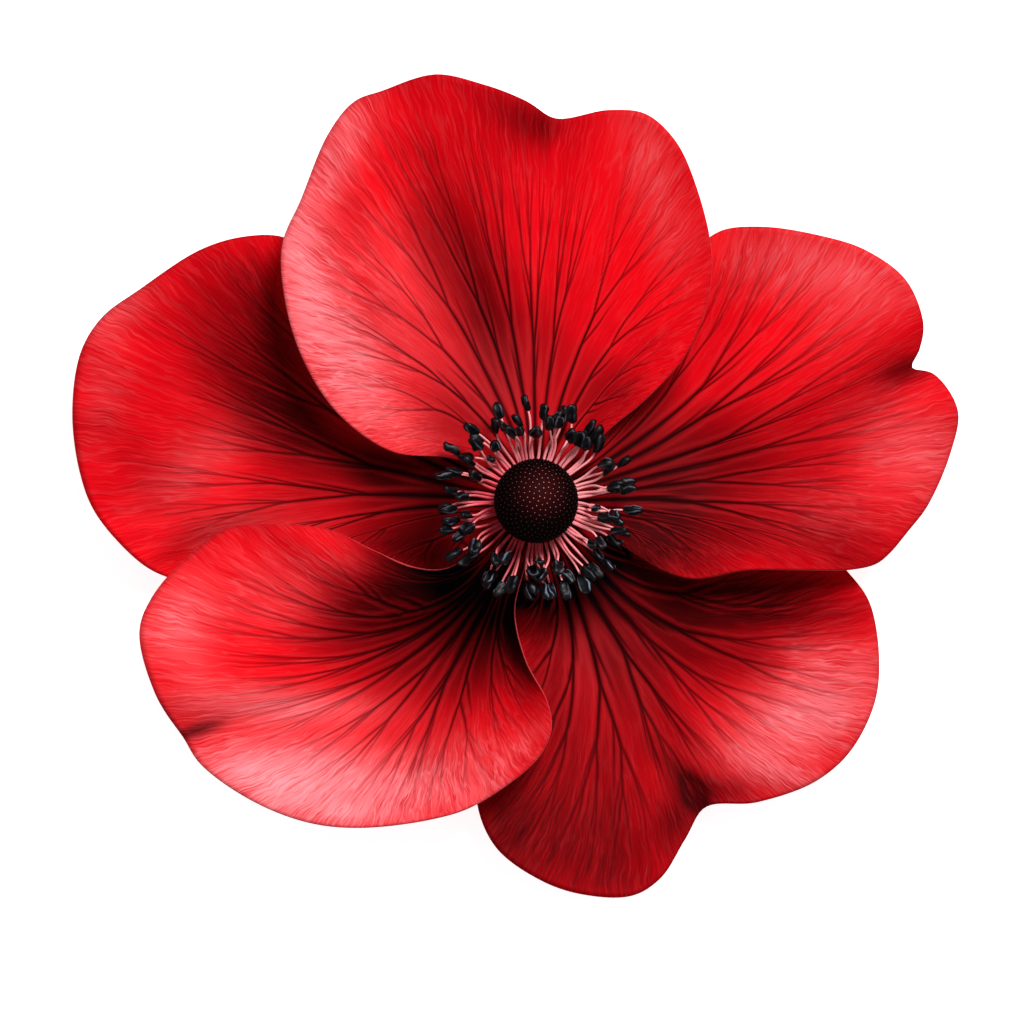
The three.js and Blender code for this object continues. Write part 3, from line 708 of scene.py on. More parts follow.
def grow_veins(tepal, rng):
    """Veins that fork on their way out, each within its own share of the margin.

    A vein is (place along the margin, t, half width in mm, darkness), each an array. Place and t
    run from 0 to 1. No vein crosses another, as each turns towards the middle of its share.
    """
    veins = []

    def trace(place, start, end, aim, girth, darkness, turning=TURNING, fades=True):
        """Adds a vein that turns from its place towards its aim."""
        t = np.linspace(start, end, VEIN_STEPS)
        way = 1 - np.exp(-turning * (t - start))
        wave = sum(k * np.sin(rate * t + PHASES * rng.random()) for rate, k in WAVES)
        along = place + (aim - place) * way + SWAY * wave * way
        half = girth * lerp(*VEIN_HALF_WIDTHS, t**THINNING)
        dark = darkness * (1 - OUTER_FADING * ramp(t, *OUTER))
        if fades:
            dark = dark * np.clip((end - t) / TIP_LENGTH, 0, 1) ** TIP_POWER
        veins.append((along, t, half, dark))
        return along, t

    def spread(place, start, low, high, girth, darkness, forks):
        """Grows a vein into the share from low to high and forks it at each t in forks."""
        middle = lerp(low, high, rng.uniform(*MIDDLE))
        turning = TURNING if start else ROOT_TURNING
        if not forks:
            end = min(VEIN_END, start + rng.uniform(*LAST_LENGTH))
            trace(place, start, end, middle, girth, darkness, turning)
            return
        fork = forks[0]
        along, t = trace(place, start, fork, middle, girth, darkness, turning, False)
        leaves = rng.uniform(lerp(start, fork, SIDE_FROM), fork)
        aim = lerp(middle, rng.choice((low, high)), SIDE_AIM)
        here = np.interp(leaves, t, along)
        end = min(VEIN_END, leaves + SIDE_LENGTH)
        trace(here, leaves, end, aim, girth * SIDE_GIRTH, darkness * SIDE_DARKNESS)
        split = lerp(low, high, rng.uniform(*SPLIT))
        finer = (girth * FORK_GIRTH, darkness * FORK_DARKNESS, forks[1:])
        spread(along[-1], fork, low, split, *finer)
        spread(along[-1], fork, split, high, *finer)

    widths = [rng.uniform(*SHARE_WIDTHS) for _ in range(tepal["veins"])]
    ends = np.concatenate([[0], np.cumsum(widths)]) / sum(widths)
    for low, high in zip(ends[:-1], ends[1:], strict=True):
        girth = tepal["vein_girth"] * rng.uniform(*FIRST_GIRTHS)
        root = lerp(low, high, rng.uniform(*SPLIT))
        forks = np.cumsum([rng.uniform(*gap) for gap in FORK_GAPS])
        spread(root, 0.0, low, high, girth, rng.uniform(*FIRST_DARKNESSES), list(forks))
    return veins


def vein_field(veins, points):
    """How dark the veins make a grid's points, rows by columns, and the painted highlight of a
    ridge beside them.
    """
    rows, columns = points.shape[0] - 1, points.shape[1] - 1
    across = np.linalg.norm(np.gradient(points, 1 / columns, axis=1), axis=2)
    outward = np.linalg.norm(np.gradient(points, 1 / rows, axis=0), axis=2)
    dark, ridge = np.zeros((2, rows + 1, columns + 1))
    for along, t, half, darkness in veins:
        courses = (along, half, darkness, np.gradient(along, t))
        for row in range(math.ceil(t[0] * rows), math.floor(t[-1] * rows) + 1):
            place, width, deep, lean = (np.interp(row / rows, t, course) for course in courses)
            column = min(columns, max(0, round(place * columns)))
            span = max(across[row, column], 1e-6)
            reach = math.ceil(LINE_REACH * width / span * columns)
            low, high = max(0, column - reach), min(columns, column + reach) + 1
            upright = math.cos(math.atan(lean * span / max(outward[row, column], 1e-6)))
            gap = (np.arange(low, high) / columns - place) * span * upright
            apart = np.abs(gap) / width
            line = lerp(bell(apart, 0, SOFT_EDGE), np.exp(-(apart**3)), LINE_CORE)
            for field, strength in ((dark, line), (ridge, bell(apart, *RIDGE_HIGHLIGHT))):
                field[row, low:high] = np.maximum(field[row, low:high], deep * strength)
    return dark, ridge


def soft_spots(spots, plan):
    """The sum of soft ellipses at each point of the plan."""
    total = np.zeros(plan.shape[:-1])
    for x, y, half_length, half_width, angle, strength in spots:
        turn = math.radians(angle)
        forward = np.array([math.cos(turn), math.sin(turn)])
        sideways = np.array([-forward[1], forward[0]])
        offset = plan - np.array([x, y])
        distance = (offset @ forward / half_length) ** 2 + (offset @ sideways / half_width) ** 2
        total += strength * np.exp(-distance)
    return total


def shade_of(total):
    """The share of light that spots of painted shade of this total take, even to the eye; below 0
    they are painted light.
    """
    left = np.clip(1 - total / FULL_SHADE, LEAST_LEFT, 1) ** EYE
    return np.where(total > 0, 1 - left, total)


def base_strength(tepal, reach):
    """How black the blotch at the claw is, at a distance from the heart; the root is brighter."""
    root = lerp(ROOT_BLOTCH, 1, ramp(reach, *ROOT_SPAN))
    return tepal["base_strength"] * root * (1 - ramp(reach, *tepal["base_reach"]))


def unit_normals(points):
    """Upward normals of a grid of points, rows by columns."""
    normal = np.cross(np.gradient(points, axis=1), np.gradient(points, axis=0))
    return normal / np.linalg.norm(normal, axis=2)[:, :, None]


def loop_round(rows, columns, first):
    """Indices round the edge of a grid of points, starting along its first row."""
    width = columns + 1
    loop = [first + column for column in range(columns)]
    loop += [first + row * width + columns for row in range(rows)]
    loop += [first + rows * width + column for column in range(columns, 0, -1)]
    return loop + [first + row * width for row in range(rows, 0, -1)]


def rim_faces(upper, lower):
    """Triangles between the loops round both faces; the upper one has COARSE times the points."""
    faces = []
    half = COARSE // 2
    for k, first in enumerate(lower):
        second = lower[(k + 1) % len(lower)]
        edge = [upper[(COARSE * k + step) % len(upper)] for step in range(COARSE + 1)]
        faces.append((first, second, edge[half]))
        faces += [(first, edge[j + 1], edge[j]) for j in range(half)]
        faces += [(second, edge[j + 1], edge[j]) for j in range(half, COARSE)]
    return faces


def build_tepal(name, tepal, settings):
    """A blade with a finely divided upper face, on which its veins, blotch, painted shade, painted
    light and painted sheen are kept as attributes.
    """
    rows, columns = settings.rows * COARSE, settings.columns * COARSE
    shares, length = even_shares(tepal, columns)
    t, s = np.meshgrid(np.linspace(0, 1, rows + 1), shares, indexing="ij")
    low = underside(tepal, s.ravel(), t.ravel()).reshape(rows + 1, columns + 1, 3)
    vein, ridge = vein_field(grow_veins(tepal, random.Random(name)), low)
    for place, width, depth in tepal["folds"]:
        fold = depth * bell(s, place, width)
        fold *= ramp(t, *FOLD_GROWS) * (1 - FOLD_FADING * ramp(t, *FOLD_FADES))
        low[..., 2] += fold
    normal = unit_normals(low)
    ending = ramp(t, THIN_FROM, 1)
    side = np.minimum(s, 1 - s)
    half = settings.thickness / MM / 2
    half = half * (1 - THIN_EDGE * ending) * (1 - THIN_SIDE * (1 - ramp(side, 0, SIDE_SHARE)))
    sink = settings.vein_depth / MM * vein * (1 - ending)
    middle = low + normal * MID_HEIGHT
    upper = middle + normal * (half - sink)[..., None]
    lower = (middle - normal * half[..., None])[::COARSE, ::COARSE]
    lower[..., 2] = np.maximum(lower[..., 2], -HEART.z / MM)
    points = np.vstack([upper.reshape(-1, 3), lower.reshape(-1, 3)])
    count = t.size
    coarse = (settings.rows, settings.columns, count)
    faces = grid_faces(rows, columns) + [face[::-1] for face in grid_faces(*coarse)]
    flat = len(faces)
    faces += rim_faces(loop_round(rows, columns, 0), loop_round(*coarse))
    piece = mesh_object("petal_" + name, placed(points), faces)
    mesh = piece.data
    for face in mesh.polygons[flat:]:
        face.use_smooth = False

    def on_both(values):
        """Values of the upper face's grid, for all of the blade's points."""
        return np.concatenate([values.ravel(), values[::COARSE, ::COARSE].ravel()])

    plan = low[..., :2]
    set_attributes(
        mesh,
        vein=on_both(vein),
        # Painted highlight beside the veins, where the blade would bulge.
        ridge=on_both(ridge * (1 - vein)),
        # Painted shade, and painted light where the spots sum below 0.
        shade=on_both(shade_of(soft_spots(tepal["shades"], plan))),
        # Painted pale sheen.
        pale=on_both(np.minimum(soft_spots(tepal["pales"], plan), 1)),
        base=on_both(base_strength(tepal, np.hypot(plan[..., 0], plan[..., 1]))),
        under=np.arange(len(points)) >= count,
    )
    along = np.broadcast_to(np.linspace(0, length / UV_SCALE, columns + 1), t.shape)
    corner = np.zeros(len(mesh.loops), np.int32)
    mesh.loops.foreach_get("vertex_index", corner)
    places = np.column_stack([on_both(along), on_both(t)])[corner]
    uv = mesh.uv_layers.new(name="blade")
    uv.data.foreach_set("uv", places.ravel().astype(np.float32))
    return piece


def tepal_material(colours):
    """Silky red with fine wavy fibres along the blade, dark veins and a black base, under painted
    shade, painted light and painted pale sheen.
    """
    nodes = Finish("silky_red_tepal", Specular_IOR_Level=0.01)
    blade = nodes.out("ShaderNodeUVMap", {"uv_map": "blade"})
    place = nodes.place()
    t = nodes.out("ShaderNodeSeparateXYZ", output="Y", Vector=blade)
    vein, ridge, shade, pale, base, under = nodes.attributes(
        "vein", "ridge", "shade", "pale", "base", "under"
    )
    sway = (nodes.noise(place, 260.0, 2.0, 0.6) - 0.5) * PATTERN_SWAY
    shift = nodes.out("ShaderNodeCombineXYZ", X=sway)
    uv = nodes.vector("ADD", Vector=blade, Vector_001=shift)
    patterns = (BANDS, FIBRES, THREADS, STRANDS)
    band, fibre, thread, strand = (nodes.noise(uv, *pattern) for pattern in patterns)
    cloud = nodes.noise(place, 130.0, 3.0, 0.55)
    outer = t.between(0.2, 0.9)
    grain = ((fibre - 0.5) * 0.7 + (thread - 0.5) * 0.5) * (0.3 + outer * 0.7)
    # Painted light where the spots of painted shade sum below 0: it makes the red brighter and
    # evener.
    lit = (0 - shade).clamped()
    unevenness = grain * 0.8 + (cloud - 0.5) * 0.6 + (band - 0.5) * outer * 0.8
    tone = 0.56 + unevenness * (1 - lit * 0.6) + lit * 0.5
    # Painted sheen: pale on the sheen patches and, fainter, along fibre streaks, beside each vein
    # and in thin threads that are strongest within the patches.
    silk = (grain * 4.5 + (band - 0.5) * 1.5 + 0.8).clamped()
    sheen = pale * silk + pale * pale * 0.35
    streak = fibre.between(0.56, 0.76) * outer * 0.06 + ridge * 0.025
    wisp = (1 - (strand - 0.5).math("ABSOLUTE") * 26).clamped() * outer * (0.04 + pale * 1.1)
    # Painted shade from the soft spots, less on the highlight beside the veins.
    painted_shade = (shade * (1.05 - grain * 0.8 - ridge * 0.2)).clamped() * 0.95
    # Painted shade: a thin darker line along the margin, in the painted shade colour.
    edge = t.between(0.985, 1.0) * 0.3
    line = vein * (1 - pale * 0.35) * (1 + grain * 0.5)
    blotch = base * (1.1 - ridge * 0.3)
    red = nodes.mix(tone.clamped(), colours.deep, colours.bright)
    for share, colour in (
        (sheen, colours.pale),
        (streak, colours.pale),
        (wisp, colours.pale),
        (painted_shade, colours.painted_shade),
        (edge, colours.painted_shade),
        (line, colours.vein),
        (blotch, colours.base),
    ):
        red = nodes.mix(share.clamped(), red, colour)
    back = nodes.mix((fibre - 0.1).clamped(), colours.back_deep, colours.back)
    back = nodes.mix(vein * 0.35, back, colours.deep)
    roughness = (0.55 + (fibre - 0.5) * 0.3).clamped()
    height = fibre * 0.3 + thread * 0.25 + band * 0.3 - vein * 0.5
    return nodes.made(nodes.mix(under, red, back), roughness, height, 0.45, 0.1)


# ---- Stamens ----

# Pairs are of the innermost and the outermost stamen, in millimetres.
ROOT_RADIUS = 2.9
ROOT_HEIGHTS = (5.95, 5.8)
ELBOW_RADII = (5.1, 5.8)
ELBOW_HEIGHTS = (6.6, 6.2)
TIP_RADII = (5.7, 8.5)
TIP_HEIGHTS = (9.0, 7.0)
ANTHER_END = 1.7
GROWTHS = (0.85, 1.15)
HEADING_SPREAD = 6  # degrees
DRIFT_SPREAD = 10
ELBOW_DRIFT = 0.3
RADIUS_SPREAD = 1.4
HEIGHT_SPREAD = 1.6
LEAN = 0.9

FILAMENT_SHARE = 0.68  # of the spine; the rest lies inside the anther
FILAMENT_POINTS = 19
FILAMENT_GIRTHS = (1.25, 0.7)  # at the root and at the tip, of the average
FILAMENT_SWAY = 0.2
FILAMENT_WAVE = 5  # radians of sway from root to tip
# Painted light: filaments are painted palest towards this direction, that of the light.
LIGHT = (0.8, 0.6)  # the direction that the filaments are palest in
# Painted sheen, partly pollen dust, on the anthers: its least share, at the top, and the power of
# its random draw.
LEAST_DUST_AND_SHEEN = 0.25  # of the anthers at the top, beside those at the bottom
DUST_AND_SHEEN_POWER = 0.7
ANTHER_RINGS = 9
ANTHER_SIDES = 16
ANTHER_OUTLINE = (0.9, 0.34)  # powers that make it fuller low down, and blunt at both ends
ANTHER_HALVES = (0.5, 0.44)  # of its width: across both lobes, and from front to back
ANTHER_GROOVE = (0.55, 0.33)  # its depth, and its width as a share of the anther's
CREST = (0.7, 0.22)  # the middle and the width of a lobe's crest
LARGEST_ROLL = 0.9  # radians that an anther is turned about its own length, either way


def polar(radius, degrees, height):
    """A point by its distance from the heart's axis, its direction and its height."""
    turn = math.radians(degrees)
    return Vector((radius * math.cos(turn), radius * math.sin(turn), height))


def stamen_growth(index):
    """How long an anther is beside the average one."""
    return lerp(*GROWTHS, draw(index, 5))


def stamen_spine(index):
    """Root, elbow, tip and anther end of one stamen, as in the solids."""
    outness = math.sqrt((index + 0.5) / STAMENS)
    uneven = [draw(index, purpose) - 0.5 for purpose in range(9)]
    heading = index * GOLDEN_ANGLE + HEADING_SPREAD * uneven[1]
    drift = DRIFT_SPREAD * uneven[2]
    reach = lerp(*TIP_RADII, outness) + RADIUS_SPREAD * uneven[3]
    top = lerp(*TIP_HEIGHTS, outness) + HEIGHT_SPREAD * uneven[4]
    root = polar(ROOT_RADIUS, heading, lerp(*ROOT_HEIGHTS, outness))
    bend = heading + ELBOW_DRIFT * drift
    elbow = polar(lerp(*ELBOW_RADII, outness), bend, lerp(*ELBOW_HEIGHTS, outness))
    tip = polar(reach, heading + drift, top)
    pointing = ((tip - elbow).normalized() + Vector(uneven[6:9]) * LEAN).normalized()
    return [root, elbow, tip, tip + pointing * ANTHER_END * stamen_growth(index)]


def stamen_spines():
    """The host of the stamens: one line of points for each, with what its anther is like."""
    points, edges = [], []
    growth, bloom, lit = [], [], []
    for index in range(STAMENS):
        spine = stamen_spine(index)
        path = catmull_rom(spine, np.linspace(0, FILAMENT_SHARE, FILAMENT_POINTS))
        across = (spine[3] - spine[0]).cross(Vector((0, 0, 1))).normalized()
        share = np.linspace(0, 1, FILAMENT_POINTS)
        sway = FILAMENT_SWAY * share * np.sin(FILAMENT_WAVE * share + PHASES * draw(index, 10))
        path += sway[:, None] * np.array(across)
        first = len(points)
        edges += [(first + k, first + k + 1) for k in range(FILAMENT_POINTS - 1)]
        points += list(placed(path))
        x, y = spine[2].normalized().xy
        growth += [stamen_growth(index)] * FILAMENT_POINTS
        # Painted sheen, partly pollen dust: more on the lower anthers, random for each.
        dust_and_sheen = lerp(LEAST_DUST_AND_SHEEN, 1, 0.5 - 0.5 * y) * draw(index, 9) ** DUST_AND_SHEEN_POWER
        bloom += [dust_and_sheen] * FILAMENT_POINTS
        # Painted light: filaments that face the light are painted paler.
        lit += [0.5 + 0.5 * (LIGHT[0] * x + LIGHT[1] * y)] * FILAMENT_POINTS
    host = mesh_object("stamen_spines", points, [], edges, smooth=False)
    set_attributes(host.data, growth=growth, bloom=bloom, lit=lit)
    return host


def anther_mesh(settings):
    """One anther a millimetre long up +Z from the origin: two lobes with a groove between them."""
    width = settings.anther_width / settings.anther_length
    fuller, blunt = ANTHER_OUTLINE
    half_across, half_deep = ANTHER_HALVES
    depth, spread = ANTHER_GROOVE
    points, crest = [(0, 0, 0)], [0]
    for k in range(1, ANTHER_RINGS):
        share = k / ANTHER_RINGS
        girth = math.sin(math.pi * share**fuller) ** blunt * width
        for cosine, sine, _ in round_points(1, 0, ANTHER_SIDES):
            lobes = 1 - depth * bell(cosine, 0, spread)
            points.append((half_across * girth * cosine, half_deep * girth * lobes * sine, share))
            crest.append(bell(abs(cosine), *CREST))
    points.append((0, 0, 1))
    crest.append(0)
    form = mesh_object("anther_form", points, ring_faces(ANTHER_RINGS - 1, ANTHER_SIDES))
    set_attributes(form.data, crest=crest)
    return form


def stamen_tree(values):
    """Sweeps a filament along each spine and stands an anther on each tip."""
    nodes = Shaping("stamen_ring", values)
    number = {"data_type": "FLOAT"}
    spines = nodes.out("GeometryNodeMeshToCurve", Mesh=nodes["Geometry"])
    along = nodes.out("GeometryNodeSplineParameter", output="Factor")
    marked = nodes.out(
        "GeometryNodeStoreNamedAttribute", number, Geometry=spines, Name="along", Value=along
    )
    root, tip = FILAMENT_GIRTHS
    taper = root - along * (root - tip)
    section = nodes.out(
        "GeometryNodeCurvePrimitiveCircle",
        Resolution=nodes["Filament Sides"],
        Radius=nodes["Filament Radius"],
    )
    swept = nodes.out(
        "GeometryNodeCurveToMesh", Curve=marked, Profile_Curve=section, Scale=taper, Fill_Caps=True
    )
    filaments = nodes.painted(swept, "Filament Material")
    facing = nodes.upward(nodes.out("GeometryNodeInputTangent"))
    roll = nodes.drawn(-LARGEST_ROLL, LARGEST_ROLL)
    twist = nodes.out("FunctionNodeAxisAngleToRotation", Axis=(0, 0, 1), Angle=roll)
    local = {"rotation_space": "LOCAL"}
    rolled = nodes.out("FunctionNodeRotateRotation", local, Rotation=facing, Rotate_By=twist)
    growth = nodes.out("GeometryNodeInputNamedAttribute", number, Name="growth")
    anthers = nodes.repeated(
        Points=marked,
        Selection=nodes.out("GeometryNodeCurveEndpointSelection", Start_Size=0, End_Size=1),
        Instance=nodes.out("GeometryNodeObjectInfo", output="Geometry", Object=nodes["Anther"]),
        Rotation=rolled,
        Scale=growth * nodes["Anther Length"],
    )
    lumps = nodes.out("ShaderNodeTexNoise", output=1, Scale=900.0, Detail=1.0)
    centred = nodes.vector("SUBTRACT", Vector=lumps, Vector_001=(0.5, 0.5, 0.5))
    push = nodes.vector("SCALE", Vector=centred, Scale=nodes["Anther Unevenness"])
    uneven = nodes.out("GeometryNodeSetPosition", Geometry=anthers, Offset=push)
    both = nodes.joined(filaments, nodes.painted(uneven, "Anther Material"))
    nodes.add("NodeGroupOutput", Geometry=nodes.out("GeometryNodeSetShadeSmooth", Geometry=both))
    return nodes


def filament_material(colours):
    """Salmon rose near the root and on the side away from the light, pale pink towards the light:
    painted light.
    """
    nodes = Finish("rose_filament", Specular_IOR_Level=0.3)
    along, lit = nodes.attributes("along", "lit")
    grain = nodes.noise(nodes.place(), 900.0)
    # Painted light: lit pales the filaments on the side towards the light.
    paleness = (along * 0.9 + (grain - 0.5) * 0.8 + lit * 1.3 - 0.6).clamped()
    pink = nodes.mix(paleness, colours.filament_root, colours.filament)
    return nodes.made(pink, 0.36 + grain * 0.2)


def anther_material(colours):
    """Blue black, with grey blue along the crests of some anthers, more on the lower ones: partly
    pollen dust, partly painted sheen.
    """
    nodes = Finish("blue_black_anther", Specular_IOR_Level=0.2)
    grain = nodes.noise(nodes.place(), 2600.0, 3.0, 0.6)
    patch = nodes.noise(nodes.place(), 700.0)
    crest, bloom = nodes.attributes("crest", "bloom")
    # Painted sheen, partly pollen dust: grey blue along the lobes' crests of the anthers that carry
    # it.
    dust_and_sheen_mask = (crest.between(0.5, 0.95) * bloom * (patch.between(0.42, 0.6) + grain * 0.2)).clamped()
    colour = nodes.mix(dust_and_sheen_mask, colours.anther, colours.anther_dust_and_sheen)
    return nodes.made(colour, 0.3 + grain * 0.25, grain, 0.4)


# ---- Carpel head ----

STYLE_SIDES = 7
STYLE_PROFILE = [(0.5, -0.5), (0.46, -0.1), (0.34, 0.25), (0.2, 0.45)]
STYLE_TOP = 0.5
STYLE_SIZES = (0.85, 1.12)
LOWEST_STYLE = 0.25  # mm above the foot of the head
# Painted light on the head: where it is strongest, and the span over which it fades.
PAINTED_LIGHT_PLACE = (0.5, 1.1)  # mm from the heart
PAINTED_LIGHT_SPAN = (0.3, 4)  # mm over which the glow fades


def style_mesh():
    """One style a millimetre high up +Z: a blunt stud whose tip is marked."""
    points = [point for ring in STYLE_PROFILE for point in round_points(*ring, STYLE_SIDES)]
    last = len(points)
    points.append((0, 0, STYLE_TOP))
    faces = grid_faces(len(STYLE_PROFILE) - 1, STYLE_SIDES, closed=True)
    top = range(last - STYLE_SIDES, last)
    faces += [(last, a, b) for a, b in zip(top, (*top[1:], top[0]), strict=True)]
    faces.append(tuple(reversed(range(STYLE_SIDES))))
    form = mesh_object("style_form", points, faces)
    set_attributes(form.data, tip=[max(0.0, point[2] / STYLE_TOP) for point in points])
    return form


def head_tree(values):
    """Shapes a sphere into the head and stands a style at each place of a golden spiral."""
    nodes = Shaping("studded_head", values)
    radius = nodes["Radius"]
    stretch = nodes.out("ShaderNodeCombineXYZ", X=radius, Y=radius, Z=nodes["Half Height"])

    def on_head(unit):
        """A point of the unit sphere moved onto the head."""
        wide = nodes.vector("MULTIPLY", Vector=unit, Vector_001=stretch)
        return nodes.vector("ADD", Vector=wide, Vector_001=nodes["Centre"])

    ball = nodes.out("GeometryNodeMeshIcoSphere", Radius=1.0, Subdivisions=6)
    shaped = on_head(nodes.out("GeometryNodeInputPosition"))
    parts = nodes.add("ShaderNodeSeparateXYZ", Vector=shaped).outputs
    x, y, z = (Value(nodes, part) for part in parts)
    flat = nodes.out("ShaderNodeCombineXYZ", X=x, Y=y, Z=z.math("MAXIMUM", nodes["Foot"]))
    core = nodes.out("GeometryNodeSetPosition", Geometry=ball, Position=flat)
    index = nodes.out("GeometryNodeInputIndex")
    level = 1 - (index + 0.5) * 2 / nodes["Styles"]
    girth = (1 - level * level).math("SQRT")
    turn = index * math.radians(GOLDEN_ANGLE)
    across, along = girth * turn.math("COSINE"), girth * turn.math("SINE")
    unit = nodes.out("ShaderNodeCombineXYZ", X=across, Y=along, Z=level)
    seat = on_head(unit)
    styles = nodes.repeated(
        Points=nodes.out("GeometryNodePoints", Count=nodes["Styles"], Position=seat),
        Selection=nodes.height(seat).math("GREATER_THAN", nodes["Foot"] + LOWEST_STYLE * MM),
        Instance=nodes.out("GeometryNodeObjectInfo", output="Geometry", Object=nodes["Style"]),
        Rotation=nodes.upward(unit),
        Scale=nodes.drawn(*STYLE_SIZES) * nodes["Style Width"],
    )
    smooth = nodes.out("GeometryNodeSetShadeSmooth", Geometry=nodes.joined(core, styles))
    nodes.add("NodeGroupOutput", Geometry=nodes.painted(smooth, "Material"))
    return nodes


def head_material(colours):
    """Velvety black with painted light in maroon near its top, a little off centre, and pale pink
    style tips that are painted brighter there.
    """
    nodes = Finish("velvet_black_carpel", Specular_IOR_Level=0.02)
    (tip,) = nodes.attributes("tip")
    place = nodes.place()
    grain = nodes.noise(place, 1500.0, 3.0)
    patch = nodes.noise(place, 420.0)
    middle = HEART + Vector((*PAINTED_LIGHT_PLACE, HEAD_CENTRE + HEAD_HALF_HEIGHT)) * MM
    away = nodes.vector("DISTANCE", "Value", Vector=place, Vector_001=middle) / MM
    # Painted light: the head is painted maroon, and its style tips paler, near a point on its top.
    near = 1 - away.between(*PAINTED_LIGHT_SPAN)
    glow = (near * (0.45 + patch * 1.1)).clamped()
    body = nodes.mix(glow, colours.flesh, colours.flesh_painted_light)
    bright = (tip.between(0.45, 0.9) * (0.1 + near * 0.9)).clamped()
    return nodes.made(nodes.mix(bright, body, colours.style_tip), 0.5 + grain * 0.3, grain)


# ---- Receptacle and stalk ----

STEEPEST = 0.7  # of a face's upward part, that down still grows on
PATCH_SHADE = 0.6


def hair_tree(values):
    """Scatters short hairs over the host's faces and joins them to it."""
    nodes = Shaping("stalk_down", values)
    upright = nodes.height(nodes.out("GeometryNodeInputNormal"))
    height = nodes.height(nodes.out("GeometryNodeInputPosition"))
    steep = upright.math("ABSOLUTE").math("LESS_THAN", STEEPEST)
    over = height.math("GREATER_THAN", nodes["Lowest Root"])
    below = height.math("LESS_THAN", nodes["Highest Root"])
    scattered = nodes.add(
        "GeometryNodeDistributePointsOnFaces",
        {"distribute_method": "RANDOM"},
        Mesh=nodes["Geometry"],
        Selection=steep * over * below,
        Density=nodes["Density"],
        Seed=nodes["Seed"],
    )
    cone = nodes.out(
        "GeometryNodeMeshCone",
        Vertices=4,
        Side_Segments=2,
        Radius_Top=0.0,
        Radius_Bottom=nodes["Hair Radius"],
        Depth=nodes["Hair Length"],
    )
    hairs = nodes.repeated(
        Points=Value(nodes, scattered.outputs[0]),
        Instance=cone,
        Rotation=Value(nodes, scattered.outputs["Rotation"]),
    )
    skin = nodes.painted(nodes["Geometry"], "Skin Material")
    nodes.add("NodeGroupOutput", Geometry=nodes.joined(skin, nodes.painted(hairs, "Hair Material")))
    return nodes


def stalk_material(colours):
    """Green skin, lighter and darker in patches, with a pale pith on the cut."""
    nodes = Finish("stalk_skin", Specular_IOR_Level=0.35)
    (pith,) = nodes.attributes("pith")
    grain = nodes.noise(nodes.place(), 700.0, 3.0)
    skin = nodes.mix(grain, colours.skin_dark, colours.skin)
    cut = nodes.mix((pith * (0.8 + grain * 0.4)).clamped(), skin, colours.pith)
    return nodes.made(cut, 0.5 + grain * 0.2, grain, 0.3, 0.1)


def plain_material(name, colour, **constants):
    """One colour that turns darker in patches."""
    nodes = Finish(name, **constants)
    grain = nodes.noise(nodes.place(), 1200.0)
    darker = [part * PATCH_SHADE for part in colour]
    return nodes.made(nodes.mix(grain, darker, colour), 0.45 + grain * 0.25)


# ---- Settings ----


def colour_property(name, default, about):
    return FloatVectorProperty(
        name=name, description=about, subtype="COLOR", size=3, min=0, max=1, default=default
    )


def length_property(name, millimetres, about):
    """A length that is kept in metres."""
    kind = {"unit": "LENGTH", "subtype": "DISTANCE", "precision": 5, "min": 0}
    return FloatProperty(name=name, description=about, default=millimetres * MM, **kind)


def count_property(name, default, about, least=0):
    return IntProperty(name=name, description=about, default=default, min=least)


class TepalSettings(bpy.types.PropertyGroup):
    thickness: length_property("Thickness", 0.3, "Thickness of a tepal away from its edge")
    vein_depth: length_property("Vein depth", 0.05, "How far a vein is sunk into the upper face")
    columns: count_property("Columns", 240, "Cells along the margin", 8)
    rows: count_property("Rows", 20, "Cells from claw to margin", 4)
    bright: colour_property("Bright red", (0.9, 0.0026, 0.0085), "Colour of the lit blade")
    deep: colour_property("Deep red", (0.24, 0.0006, 0.0036), "Colour between the fibres")
    # Painted sheen: the colour of the pale patches, the streaks and the threads.
    pale: colour_property("Pale sheen", (0.88, 0.25, 0.28), "Colour of the pale patches")
    # Painted shade: the colour that the shade spots and the margin darken towards.
    painted_shade: colour_property("Dusk", (0.009, 0.0003, 0.0006), "Colour of the shaded folds")
    vein: colour_property("Vein", (0.012, 0.0004, 0.0009), "Colour of the veins")
    base: colour_property("Base", (0.0012, 0.0006, 0.0009), "Colour of the blotch at the claw")
    back: colour_property("Back", (0.62, 0.09, 0.10), "Colour of the underside")
    back_deep: colour_property("Back deep", (0.42, 0.02, 0.03), "Underside between the fibres")


class StamenSettings(bpy.types.PropertyGroup):
    filament_radius: length_property("Filament radius", 0.14, "Radius of a filament")
    filament_sides: count_property("Filament sides", 8, "Sides of a filament", 3)
    anther_length: length_property("Anther length", 1.95, "Length of an average anther")
    anther_width: length_property("Anther width", 1.08, "Width of an average anther")
    anther_unevenness: length_property("Anther unevenness", 0.75, "How uneven the anthers are")
    seed: count_property("Seed", 7, "Seed of the anthers' turns")
    # The pale pink is reached out along a filament and, as painted light, on the side towards the
    # light.
    filament: colour_property("Filament", (0.95, 0.36, 0.38), "Pale pink of the filaments")
    filament_root: colour_property("Filament root", (0.62, 0.03, 0.055), "Rose at the roots")
    anther: colour_property("Anther", (0.001, 0.0012, 0.002), "Blue black of the anthers")
    # Grey blue of the painted sheen and pollen dust on the anthers.
    anther_dust_and_sheen: colour_property("Anther bloom", (0.16, 0.21, 0.29), "Grey blue bloom")
    collar: colour_property("Collar", (0.10, 0.008, 0.012), "Disc that carries the stamens")


